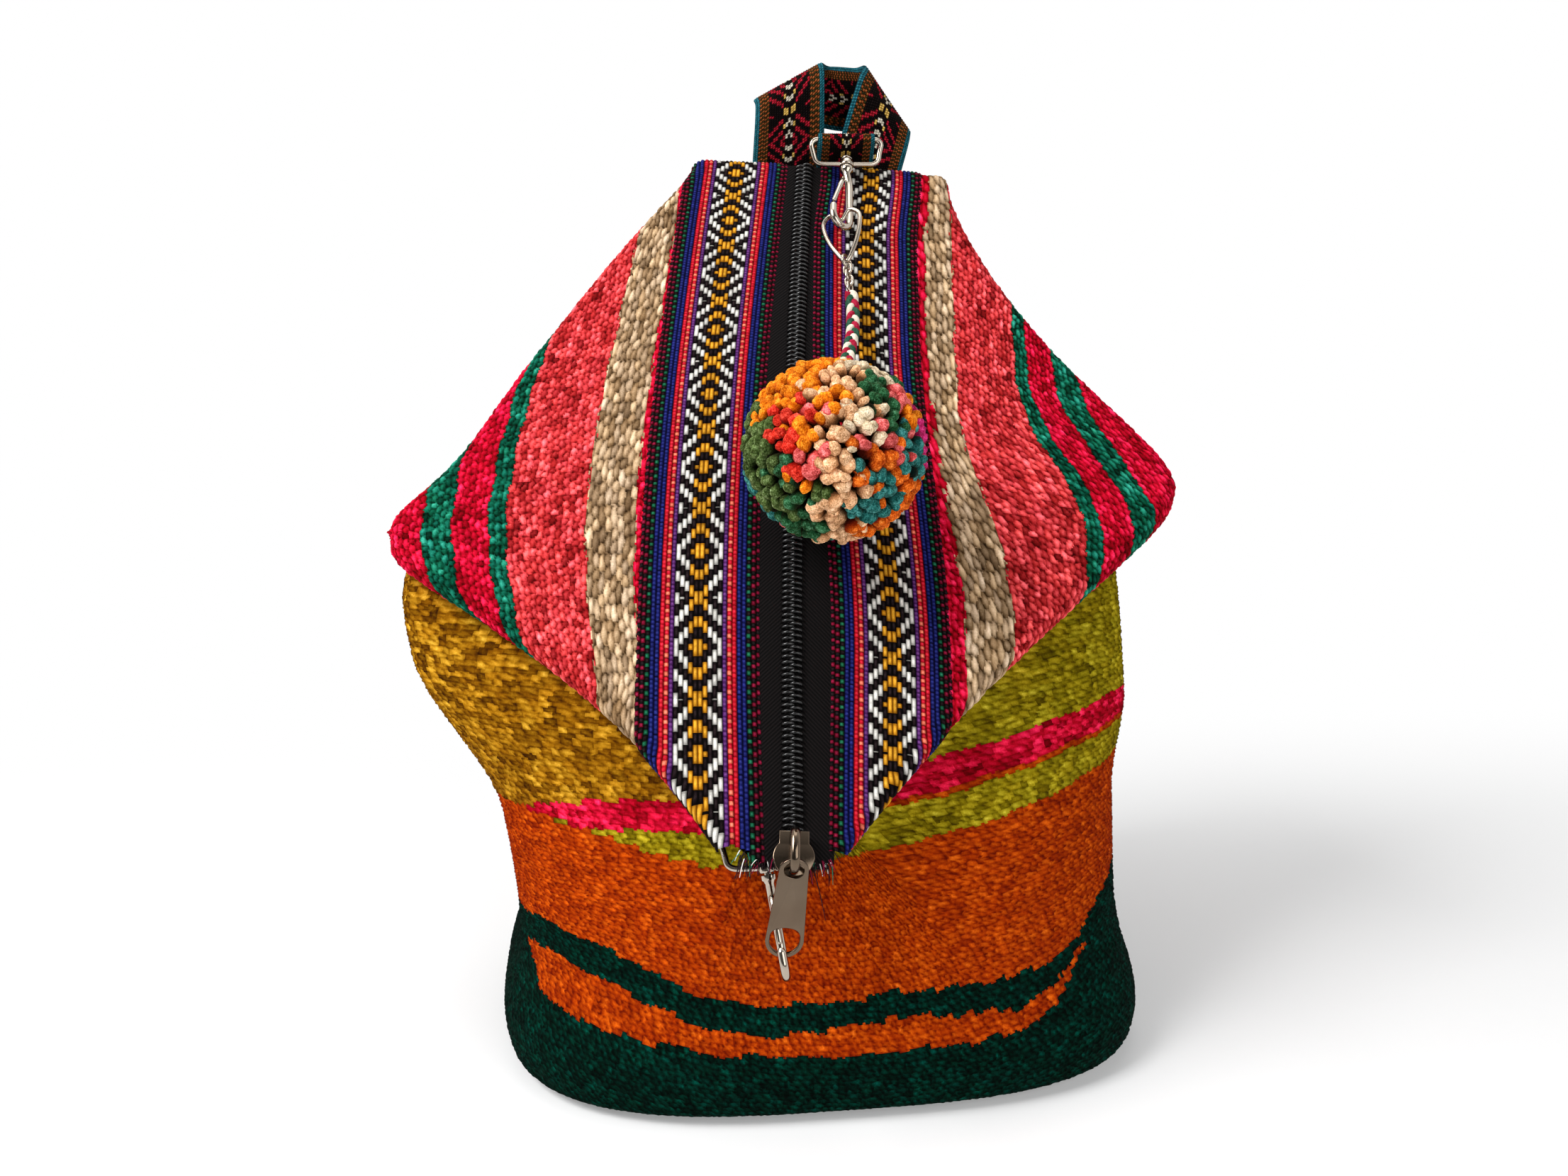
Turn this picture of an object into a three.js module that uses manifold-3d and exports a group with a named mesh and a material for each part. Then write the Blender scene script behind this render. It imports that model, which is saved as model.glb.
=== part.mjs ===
// A soft woven backpack standing on its base. The mouth is zipped front to back, folded over like the
// top of a paper bag and held down by a snap hook through the zip pull. Millimetres, +Z up, front is -Y,
// origin in the middle of the bottom panel.

import * as THREE from 'three';
import { mergeVertices } from 'three/addons/utils/BufferGeometryUtils.js';
import Module from 'manifold-3d';

// Body
const CLEARANCE = 0.3;
const BASE_WIDTH = 242;
const BASE_DEPTH = 190;
const BASE_SQUARENESS = 3.1;
const BASE_TURN = 3;
const PANEL_THICKNESS = 2.5;
const PANEL_INSET = 9;
const EDGE_RADIUS = 5;
const HEM_BULGE = 8.6;
const HEM_HEIGHT = 15;
const HEM_SPAN = 23;
const WAIST = 7.3;
const SAG_FOLD_HEIGHT = 92;
const LEFT_SAG = { depth: 20, rise: 53, hold: 6 };
const RIGHT_SAG = { depth: 5.2, rise: 36, hold: 11 };

// Flap, a diamond that slopes from its tip in front to the top edge at the back
const TIP_SHIFT = -16;
const TIP_FRONT = 98.5;
const TIP_HEIGHT = 99;
const TOP_SHIFT = 4;
const TOP_BACK = 90;
const TOP_HEIGHT = 325.5;
const LEFT_EAR = { tip: 18, dip: 14.5, reach: 146.5, at: 126, top: 41, tuck: 3, sag: 10.5, bias: 3.8 };
const RIGHT_EAR = { tip: 11, dip: 6.3, reach: 141.5, at: 163, top: 55, tuck: 22.5, sag: 16, bias: 0.83 };
const EAR_ROUNDING = 9;
const TIP_TUCK = 26;
const TIP_TUCK_SIDE = 35;
const FLAP_DROOP = 24;
const CREST_WIDTH = 40;
const DROOP_REACH = 110;
const FLAP_ARCH = 6;
const TIP_LIP_RADIUS = 2.5;
const EAR_LIP_RADIUS = 8;
const TOP_LIP_RADIUS = 5;
const CREST_FLATNESS = 0.9;
const CREST_FLATTENS_FROM = 0.7;

// Zip and woven bands
const ZIP_SWAY = 3.3;
const ZIP_SWAY_SPAN = 1.15;
const TAPE_THICKNESS = 0.8;
const COIL_WIDTH = 3.4;
const COIL_HEIGHT = 2;
const COIL_PITCH = 2.2;
const COIL_RELIEF = 0.5;
const BAND_WIDTH = 43.5;
const BAND_THICKNESS = 1.3;
const LEFT_BAND_MIDDLE = 29.5;
const LEFT_BAND_BOW = 6.5;
const LEFT_BAND_LEAD = 15;
const RIGHT_BAND_MIDDLE = 33;
const RIGHT_BAND_CLOSE = 8.5;
const RIGHT_BAND_CLOSES_FROM = 70;
const RIGHT_BAND_CLOSED_AT = 210;

// Slider and pull
const SLIDER_LENGTH = 15;
const SLIDER_WIDTH = 13.6;
const SLIDER_PLATE = 1.6;
const SHIELD_SHOULDER = 0.72;
const SHIELD_NECK = 0.45;
const SHIELD_HIP = 0.2;
const SHIELD_FOOT = 0.8;
const FLANGE_THICKNESS = 1.1;
const FLANGE_LENGTH = 6.75;
const BAIL_RADIUS = 1;
const BAIL_RISE = 9;
const BAIL_CORNER = 2.5;
const PULL_LENGTH = 36;
const PULL_TOP_WIDTH = 9.4;
const PULL_FOOT_WIDTH = 12.6;
const PULL_THICKNESS = 1.3;
const PULL_RIM = 1.4;
const PULL_HOLE_HEIGHT = 9.5;
const PULL_SLOT_HEIGHT = 5.4;
const PULL_LEAN = 6;
const PULL_SLANT = 6.5;

// Snap hooks
const RING_WIDTH = 29;
const RING_DROP = 10.3;
const RING_WIRE = 1;
const HUB_RADIUS = 3;
const HUB_HEIGHT = 3;
const NECK_RADIUS = 1.3;
const HOOK_LENGTH = 35;
const HOOK_SPREAD = 9;
const HOOK_WIRE = 1.7;
const HOOK_MOUTH = 9.5;
const HOOK_SHOULDER = 8;
const RIM_FROM_BOW = 7;
const GATE_DROP = 8.6;
const GATE_RADIUS = 1.1;
const LOWER_HOOK_LEAN = 24;
const LOWER_HOOK_SLANT = 9;
const UPPER_HOOK_ROLL = 40;
const UPPER_HOOK_OFFSET = 16;
const UPPER_HOOK_HEIGHT = 7;
const STRAP_TAB_PLY = 1.2;

// Charm
const HEART_WIDTH = 17.5;
const HEART_LENGTH = 25;
const HEART_WIRE = 0.9;
const HEART_ROLL = 25;
const HEART_LOBE = 0.16;
const HEART_SIDE = 0.22;
const HEART_TAPER = 0.6;
const SMALL_RING_RADIUS = 3;
const SMALL_RING_WIRE = 0.65;
const LINK_COUNT = 4;
const LINK_LENGTH = 4.6;
const LINK_WIDTH = 3.2;
const LINK_WIRE = 0.6;
const LINK_ROLL = 40;
const CORD_DIAMETER = 5.4;
const POMPOM_RADIUS = 31.5;
const POMPOM_TUFT = 1.2;
const POMPOM_ALONG = 130;
const POMPOM_ACROSS = 9;
const CORD_ROUTE = [
  [17, 37.5, 276.5], [17, 34, 272.5], [17, 30.5, 269], [16.5, 27, 266], [16, 23, 263.5],
  [15.5, 19, 261], [14.5, 15, 259], [13.5, 10.5, 256.5], [12.5, 6, 254.5], [11.5, 1.5, 252.5],
  [10.5, -3, 250], [9.5, -7.5, 248], [8.5, -12, 246], [7.5, -17, 243.5], [6.5, -21.5, 241],
];

// Straps
const HANDLE_WIDTH = 29;
const HANDLE_THICKNESS = 2.2;
const HANDLE_RISE = 46;
const HANDLE_FOOT = 24;
const HANDLE_DEPTH = 13;
const HANDLE_SHIFT = 8;
const HANDLE_GAP = 1.5;
const HANDLE_FLARE = 2;
const HANDLE_SEAM = 8;
const HANDLE_FOLD = 3;
const HANDLE_LEFT_CORNER = 26;
const HANDLE_RIGHT_CORNER = 20;
const HANDLE_CROOK = 16;
const SHOULDER_WIDTH = 32;
const SHOULDER_THICKNESS = 3;
const SHOULDER_BOW = 34;
const SHOULDER_TOP_X = 26;
const SHOULDER_TOP_DROP = 42;
const SHOULDER_FOOT_X = 78;
const SHOULDER_FOOT_HEIGHT = 26;

const wasm = await Module();
wasm.setup();

const part = new THREE.Group();
const RIGHT_ANGLE = 90;
const X = new THREE.Vector3(1, 0, 0);
const Y = new THREE.Vector3(0, 1, 0);
const Z = new THREE.Vector3(0, 0, 1);
const radians = THREE.MathUtils.degToRad;
const lerp = THREE.MathUtils.lerp;
const smooth = THREE.MathUtils.smoothstep;

const cloth = (color) => new THREE.MeshStandardMaterial({ color, roughness: 0.95, metalness: 0 });
const wool = cloth(0xb5502a);
const greenWool = cloth(0x0b3a2c);
const weave = cloth(0x7a1f3a);
const tape = cloth(0x121214);
const coil = new THREE.MeshStandardMaterial({ color: 0x1c1c1e, roughness: 0.45, metalness: 0 });
const nickel = new THREE.MeshStandardMaterial({ color: 0xc9c6bf, roughness: 0.25, metalness: 1 });

// Solid helpers

/** A closed geometry from points and triangles, turned so that its faces point out. */
function closed(points, triangles) {
  const volume = triangles.reduce((sum, [a, b, c]) => {
    const cross = new THREE.Vector3().crossVectors(points[b], points[c]);
    return sum + points[a].dot(cross);
  }, 0);
  const order = volume < 0 ? triangles.map(([a, b, c]) => [a, c, b]) : triangles;
  const geometry = new THREE.BufferGeometry().setFromPoints(points);
  geometry.setIndex(order.flat());
  return geometry;
}

/** Rings of equal count joined in order: open with flat caps, or a closed loop. */
function loft(rings, loop = false) {
  const count = rings[0].length;
  const points = rings.flat();
  const triangles = [];
  const last = loop ? rings.length : rings.length - 1;
  for (let i = 0; i < last; i += 1) {
    const next = (i + 1) % rings.length;
    for (let j = 0; j < count; j += 1) {
      const k = (j + 1) % count;
      triangles.push([i * count + j, next * count + j, next * count + k]);
      triangles.push([i * count + j, next * count + k, i * count + k]);
    }
  }
  if (!loop) {
    for (const [ring, turn] of [[0, 1], [rings.length - 1, -1]]) {
      const centre = rings[ring].reduce((sum, p) => sum.add(p), new THREE.Vector3()).divideScalar(count);
      const hub = points.push(centre) - 1;
      for (let j = 0; j < count; j += 1) {
        const edge = [ring * count + j, ring * count + ((j + 1) % count)];
        triangles.push(turn > 0 ? [hub, edge[0], edge[1]] : [hub, edge[1], edge[0]]);
      }
    }
  }
  return closed(points, triangles);
}

/** A round wire along points that lie in the plane square to `normal`, with a radius for each point. */
function wire(points, normal, radius, { sides = 8, loop = false } = {}) {
  const rings = points.map((point, i) => {
    const before = points[loop ? (i + points.length - 1) % points.length : Math.max(i - 1, 0)];
    const after = points[loop ? (i + 1) % points.length : Math.min(i + 1, points.length - 1)];
    const along = after.clone().sub(before).normalize();
    const across = new THREE.Vector3().crossVectors(along, normal).normalize();
    const r = typeof radius === 'function' ? radius(i) : radius;
    return Array.from({ length: sides }, (_, j) => {
      const angle = (2 * Math.PI * j) / sides;
      return point.clone()
        .addScaledVector(across, r * Math.cos(angle))
        .addScaledVector(normal, r * Math.sin(angle));
    });
  });
  return loft(rings, loop);
}

/** A strip through lines of points across it, smooth along its run, with an even thickness. */
function ribbon(lines, thickness, steps) {
  const threads = lines[0].map((_, j) => new THREE.CatmullRomCurve3(lines.map((line) => line[j])));
  const grid = Array.from({ length: steps + 1 }, (_, i) => (
    threads.map((thread) => thread.getPoint(i / steps))
  ));
  return sheet(grid, thickness / 2, thickness / 2);
}

/** A grid of points made solid by `up` and `down` along its own normals. */
function sheet(grid, up, down) {
  const rows = grid.length;
  const columns = grid[0].length;
  const at = (i, j) => grid[THREE.MathUtils.clamp(i, 0, rows - 1)][THREE.MathUtils.clamp(j, 0, columns - 1)];
  const rings = grid.map((row, i) => {
    const normals = row.map((_, j) => new THREE.Vector3().crossVectors(
      at(i + 1, j).clone().sub(at(i - 1, j)),
      at(i, j + 1).clone().sub(at(i, j - 1)),
    ).normalize());
    const top = row.map((p, j) => p.clone().addScaledVector(normals[j], up));
    const bottom = row.map((p, j) => p.clone().addScaledVector(normals[j], -down));
    return [...top, ...bottom.reverse()];
  });
  return loft(rings);
}

/** A round or oval outline about the origin. */
function roundHole(width, height, sides = 16) {
  return new THREE.Path(new THREE.EllipseCurve(0, 0, width, height).getPoints(sides).slice(0, -1));
}

/** The manifold solid of a closed geometry. */
function solid(geometry) {
  const bare = geometry.clone();
  bare.deleteAttribute('normal');
  bare.deleteAttribute('uv');
  const merged = mergeVertices(bare, 1e-4);
  return new wasm.Manifold(new wasm.Mesh({
    numProp: 3,
    vertProperties: new Float32Array(merged.attributes.position.array),
    triVerts: new Uint32Array(merged.index.array),
  }));
}

/** The three.js geometry of a manifold solid. */
function surface(manifold) {
  const mesh = manifold.getMesh();
  const geometry = new THREE.BufferGeometry();
  geometry.setAttribute('position', new THREE.BufferAttribute(new Float32Array(mesh.vertProperties), 3));
  geometry.setIndex(new THREE.BufferAttribute(new Uint32Array(mesh.triVerts), 1));
  return geometry;
}

function add(name, geometry, material, parent = part) {
  const mesh = new THREE.Mesh(geometry, material);
  mesh.name = name;
  parent.add(mesh);
  return mesh;
}

// Flap surface: s runs up the zip from the tip, c runs across it, h stands off the cloth

const FLAP_TIP = new THREE.Vector3(TIP_SHIFT, -TIP_FRONT, TIP_HEIGHT);
const FLAP_TOP = new THREE.Vector3(TOP_SHIFT, TOP_BACK, TOP_HEIGHT);
const flapSpan = FLAP_TOP.clone().sub(FLAP_TIP);
const FLAP_LENGTH = flapSpan.length();
const flapAlong = flapSpan.clone().normalize();
const flapNormal = new THREE.Vector3().crossVectors(X, flapAlong).normalize();
const flapAcross = new THREE.Vector3().crossVectors(flapAlong, flapNormal);

/** Height of the puffed cloth over the flap's plane. */
function crown(s, c) {
  const roof = (Math.hypot(c, CREST_WIDTH) - CREST_WIDTH) / DROOP_REACH;
  const stretched = 1 - CREST_FLATNESS * smooth(s, CREST_FLATTENS_FROM * FLAP_LENGTH, FLAP_LENGTH);
  return FLAP_ARCH * Math.sin((Math.PI * s) / FLAP_LENGTH) ** 2 - FLAP_DROOP * roof * stretched;
}

function flapPoint(s, c, h = 0) {
  return FLAP_TIP.clone()
    .addScaledVector(flapAlong, s)
    .addScaledVector(flapAcross, c)
    .addScaledVector(flapNormal, crown(s, c) + h);
}

const earOf = (side) => (side < 0 ? LEFT_EAR : RIGHT_EAR);

/** How far the crease bows in between the tip and the ear. */
function creaseDip(s, side) {
  const { dip, at } = earOf(side);
  return s < at ? dip * Math.sin((Math.PI * s) / at) : 0;
}

/** Distance from the middle to the flap's edge, rounded where the crease turns at the ear. */
function flapHalf(s, side) {
  const ear = earOf(side);
  const peak = ear.reach + EAR_ROUNDING * Math.LN2;
  const fallen = (FLAP_LENGTH - s) / (FLAP_LENGTH - ear.at);
  const sag = fallen < 1 ? ear.sag * Math.sin(Math.PI * fallen ** ear.bias) : 0;
  const rise = lerp(ear.tip, peak, s / ear.at) - creaseDip(s, side);
  const fall = lerp(ear.top, peak, fallen) - sag;
  return -EAR_ROUNDING * Math.log(Math.exp(-rise / EAR_ROUNDING) + Math.exp(-fall / EAR_ROUNDING));
}

/** Distance from the middle to where the wall meets the flap's underside. */
function tuckedHalf(s, side) {
  const ear = earOf(side);
  const before = lerp(TIP_TUCK_SIDE, ear.tuck, Math.min((s - TIP_TUCK) / (ear.at - TIP_TUCK), 1));
  const after = 1 - smooth(s, ear.at, FLAP_LENGTH);
  return flapHalf(s, side) + creaseDip(s, side) - before * after;
}

/** Radius of the folded edge, full at the ears and thin at the tip and the top edge. */
function lipRadius(s) {
  const ear = (LEFT_EAR.at + RIGHT_EAR.at) / 2;
  const before = lerp(TIP_LIP_RADIUS, EAR_LIP_RADIUS, smooth(s, 0, ear));
  return lerp(before, TOP_LIP_RADIUS, smooth(s, ear, FLAP_LENGTH));
}

// Body: bottom, wall, lip and flap as one closed skin

const SHELL_BOTTOM = PANEL_THICKNESS + CLEARANCE;

/** Point of the rounded base outline, grown outward by `grow` and turned a little under the flap. */
function baseOutline(angle, grow) {
  const power = 2 / BASE_SQUARENESS;
  const cos = Math.cos(angle);
  const sin = Math.sin(angle);
  return new THREE.Vector2(
    (BASE_WIDTH / 2 + grow) * Math.sign(cos) * Math.abs(cos) ** power,
    (BASE_DEPTH / 2 + grow) * Math.sign(sin) * Math.abs(sin) ** power,
  ).rotateAround(new THREE.Vector2(), radians(BASE_TURN));
}

/** How far the wall stands out of the base outline at a height. */
function wallGrow(z) {
  const hem = HEM_BULGE * Math.exp(-(((z - HEM_HEIGHT) / HEM_SPAN) ** 2));
  const turn = Math.max(0, 1 - (z - SHELL_BOTTOM) / EDGE_RADIUS);
  return hem - WAIST - EDGE_RADIUS * (1 - Math.sqrt(1 - turn * turn));
}

const TOP_BLEND = 2.2;

/** Wall point above a base angle, drawn in towards its `top` under the flap and sagging out at the sides. */
function wallPoint(angle, z, top) {
  const outline = baseOutline(angle, wallGrow(z));
  const rise = (z - SHELL_BOTTOM) / (top.z - SHELL_BOTTOM);
  const point = outline.lerp(new THREE.Vector2(top.x, top.y), rise ** TOP_BLEND);
  const sideways = Math.cos(angle);
  const sag = sideways < 0 ? LEFT_SAG : RIGHT_SAG;
  const fold = smooth(z, SAG_FOLD_HEIGHT, SAG_FOLD_HEIGHT + sag.rise) * (1 - rise ** sag.hold);
  return new THREE.Vector3(point.x + sag.depth * sideways * Math.abs(sideways) * fold, point.y, z);
}

const FLAP_ROWS = 25;
const FLAP_COLUMNS = 10;
const FRONT_SPREAD = 16;
const EAR_ANGLE = -8;
const BACK_SPREAD = 28;

/** Base angle under an edge point of the flap, in degrees on the right half. */
function edgeAngle(s, side) {
  const ear = earOf(side);
  const before = lerp(FRONT_SPREAD - RIGHT_ANGLE, EAR_ANGLE, Math.min(s / ear.at, 1));
  const past = Math.max((s - ear.at) / (FLAP_LENGTH - ear.at), 0);
  const after = past * (RIGHT_ANGLE - BACK_SPREAD - EAR_ANGLE);
  return before + after;
}

/** The flap's edge loop: tip, right side, top edge, left side. */
function edgeLoop() {
  const along = (i) => (FLAP_LENGTH * i) / FLAP_ROWS;
  const across = (j) => -1 + (2 * j) / FLAP_COLUMNS;
  const loop = [];
  for (let j = 0; j < FLAP_COLUMNS; j += 1) loop.push({ s: 0, t: across(j), end: 'tip' });
  for (let i = 0; i < FLAP_ROWS; i += 1) loop.push({ s: along(i), t: 1 });
  for (let j = FLAP_COLUMNS; j > 0; j -= 1) loop.push({ s: FLAP_LENGTH, t: across(j), end: 'top' });
  for (let i = FLAP_ROWS; i > 0; i -= 1) loop.push({ s: along(i), t: -1 });
  for (const edge of loop) {
    const ends = { tip: edge.t * FRONT_SPREAD - RIGHT_ANGLE, top: RIGHT_ANGLE - edge.t * BACK_SPREAD };
    const side = edgeAngle(edge.s, edge.t);
    edge.angle = radians(ends[edge.end] ?? (edge.t > 0 ? side : 2 * RIGHT_ANGLE - side));
    edge.c = edge.t * flapHalf(edge.s, edge.t);
  }
  return loop;
}

/** Where the wall under an edge point of the flap meets the flap's underside. */
function wallTop({ s, t }) {
  const under = TIP_TUCK + s * (1 - TIP_TUCK / FLAP_LENGTH);
  return flapPoint(under, t * tuckedHalf(under, t), -2 * lipRadius(under));
}

const flapEdge = edgeLoop();

function bagShell() {
  const loop = flapEdge;
  const count = loop.length;
  const neighbour = (k, step) => loop[(k + step + count) % count];
  const LIP_STEPS = 4;
  const HEM_ROWS = 8;
  const WALL_ROWS = 11;
  const HEM_TOP = 46;
  const columns = loop.map((edge, k) => {
    const ds = neighbour(k, 1).s - neighbour(k, -1).s;
    const dc = neighbour(k, 1).c - neighbour(k, -1).c;
    const outward = flapAlong.clone().multiplyScalar(-dc).addScaledVector(flapAcross, ds).normalize();
    const radius = lipRadius(edge.s);
    const crease = flapPoint(edge.s, edge.c);
    const lip = Array.from({ length: LIP_STEPS + 1 }, (_, i) => {
      const angle = Math.PI / 2 - (Math.PI * i) / LIP_STEPS;
      return crease.clone()
        .addScaledVector(outward, radius * Math.cos(angle))
        .addScaledVector(flapNormal, radius * (Math.sin(angle) - 1));
    });
    const top = wallTop(edge);
    const heights = [];
    for (let i = 0; i < WALL_ROWS; i += 1) heights.push(lerp(top.z, HEM_TOP, i / WALL_ROWS));
    for (let i = 0; i <= HEM_ROWS; i += 1) {
      heights.push(lerp(HEM_TOP, SHELL_BOTTOM, Math.sin((Math.PI / 2) * (i / HEM_ROWS))));
    }
    return [...lip, ...heights.map((z) => wallPoint(edge.angle, z, top))];
  });
  const depth = columns[0].length;
  const points = columns.flat();
  const triangles = [];
  const quad = (a, b, c, d) => triangles.push([a, b, c], [a, c, d]);
  columns.forEach((_, k) => {
    const next = (k + 1) % count;
    for (let i = 0; i + 1 < depth; i += 1) {
      quad(k * depth + i, k * depth + i + 1, next * depth + i + 1, next * depth + i);
    }
  });

  // The edge loop's index of a grid corner or edge, so that the flap and the bottom share its points
  const loopIndex = (i, j) => {
    if (i === 0) return j;
    if (j === FLAP_COLUMNS) return FLAP_COLUMNS + i;
    if (i === FLAP_ROWS) return 2 * FLAP_COLUMNS + FLAP_ROWS - j;
    return j === 0 ? (count - i) % count : -1;
  };
  const fill = (row, place) => {
    const grid = Array.from({ length: FLAP_ROWS + 1 }, (_, i) => (
      Array.from({ length: FLAP_COLUMNS + 1 }, (__, j) => {
        const edge = loopIndex(i, j);
        return edge < 0 ? points.push(place(i, j)) - 1 : edge * depth + row;
      })
    ));
    return grid;
  };
  const flap = fill(0, (i, j) => {
    const s = (FLAP_LENGTH * i) / FLAP_ROWS;
    const t = -1 + (2 * j) / FLAP_COLUMNS;
    return flapPoint(s, t * flapHalf(s, t));
  });
  const bottom = fill(depth - 1, (i, j) => {
    const left = columns[loopIndex(i, 0)][depth - 1];
    const right = columns[loopIndex(i, FLAP_COLUMNS)][depth - 1];
    return left.clone().lerp(right, j / FLAP_COLUMNS);
  });
  for (let i = 0; i < FLAP_ROWS; i += 1) {
    for (let j = 0; j < FLAP_COLUMNS; j += 1) {
      quad(flap[i][j], flap[i][j + 1], flap[i + 1][j + 1], flap[i + 1][j]);
      quad(bottom[i][j], bottom[i + 1][j], bottom[i + 1][j + 1], bottom[i][j + 1]);
    }
  }
  return closed(points, triangles);
}

function basePanel() {
  const STEPS = 64;
  const outline = Array.from({ length: STEPS }, (_, i) => (
    baseOutline((2 * Math.PI * i) / STEPS, wallGrow(SHELL_BOTTOM) - PANEL_INSET)
  ));
  return new THREE.ExtrudeGeometry(new THREE.Shape(outline), { depth: PANEL_THICKNESS, bevelEnabled: false });
}

add('bag_shell', bagShell(), wool);
add('base_panel', basePanel(), greenWool);

// Zip and bands, laid on the flap

const TOP_MARGIN = 2;
const COIL_BASE = CLEARANCE * 2 + TAPE_THICKNESS;
const COIL_START = SLIDER_LENGTH / 2 + CLEARANCE;
const STRIP_ROWS = 20;
const BAND_COLUMNS = 4;
const STRIP_END_WIDTH = 1;

/** Where the zip runs across the flap: a shallow bow to the left. */
function zipLine(s) {
  return -ZIP_SWAY * Math.sin((Math.PI * s) / (ZIP_SWAY_SPAN * FLAP_LENGTH));
}

/** Distance of a band's edge from the flap's middle: `edge` is -1 for the edge beside the zip, 1 outside. */
function bandEdge(s, side, edge) {
  const along = (s + LEFT_BAND_LEAD) / (FLAP_LENGTH + LEFT_BAND_LEAD);
  const left = LEFT_BAND_MIDDLE + LEFT_BAND_BOW * Math.sin(Math.PI * along);
  const closed = smooth(s, RIGHT_BAND_CLOSES_FROM, RIGHT_BAND_CLOSED_AT);
  const right = RIGHT_BAND_MIDDLE - RIGHT_BAND_CLOSE * closed;
  return (side < 0 ? left : right) + (edge * BAND_WIDTH) / 2;
}

/** A strip of cloth on the flap on one side, between two distances from its middle, cut at the crease. */
function flapStrip(side, inner, outer, thickness, columns) {
  const end = FLAP_LENGTH - TOP_MARGIN;
  const outside = (s) => Math.min(outer(s), flapHalf(s, side));
  let start = 0;
  while (outside(start) - inner(start) < STRIP_END_WIDTH) start += CLEARANCE;
  const grid = Array.from({ length: STRIP_ROWS + 1 }, (_, i) => {
    const s = lerp(start, end, i / STRIP_ROWS);
    return Array.from({ length: columns + 1 }, (__, j) => (
      { s, c: side * lerp(inner(s), outside(s), j / columns) }
    ));
  });
  const rings = grid.map((row) => [
    ...row.map(({ s, c }) => flapPoint(s, c, CLEARANCE + thickness)),
    ...row.map(({ s, c }) => flapPoint(s, c, CLEARANCE)).reverse(),
  ]);
  return loft(rings);
}

/** One half of the coil: a comb whose teeth reach past the middle into the other half's gaps. */
function zipCoil(side) {
  const halfPitch = COIL_PITCH / 2;
  const stations = Math.floor((FLAP_LENGTH - TOP_MARGIN - COIL_START) / halfPitch);
  const rings = Array.from({ length: stations + 1 }, (_, i) => {
    const s = COIL_START + i * halfPitch;
    const tooth = i % 2 === (side < 0 ? 0 : 1);
    const inner = tooth ? CLEARANCE - COIL_RELIEF : CLEARANCE + COIL_RELIEF;
    const height = tooth ? COIL_HEIGHT : COIL_HEIGHT - COIL_RELIEF;
    const outer = tooth ? COIL_WIDTH : COIL_WIDTH - COIL_RELIEF;
    const corner = (c, h) => flapPoint(s, zipLine(s) + side * c, COIL_BASE + h);
    return [corner(inner, 0), corner(outer, 0), corner(inner + COIL_RELIEF, height)];
  });
  return loft(rings);
}

for (const [name, side] of [['left', -1], ['right', 1]]) {
  const beside = (s) => bandEdge(s, side, -1);
  const outside = (s) => bandEdge(s, side, 1);
  add(`band_${name}`, flapStrip(side, beside, outside, BAND_THICKNESS, BAND_COLUMNS), weave);
  const middle = (s) => side * zipLine(s) + CLEARANCE;
  add(`zip_tape_${name}`, flapStrip(side, middle, (s) => beside(s) - 2 * CLEARANCE, TAPE_THICKNESS, 1), tape);
  add(`zip_coil_${name}`, zipCoil(side), coil);
}

// Slider: a shield plate with side flanges over the tape and a bail for the pull

const PLATE_BASE = COIL_BASE + COIL_HEIGHT + 2 * CLEARANCE;
const PLATE_TOP = PLATE_BASE + SLIDER_PLATE;
const BAIL_FOOT = SLIDER_LENGTH / 2 - BAIL_RADIUS - CLEARANCE;
const PULL_STAND = 2.8;

/** The frame of the flap at the tip: x across, y up the zip, z off the cloth. */
const tipFrame = new THREE.Group();
tipFrame.position.copy(FLAP_TIP);
tipFrame.quaternion.setFromRotationMatrix(new THREE.Matrix4().makeBasis(flapAcross, flapAlong, flapNormal));
part.add(tipFrame);

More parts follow.
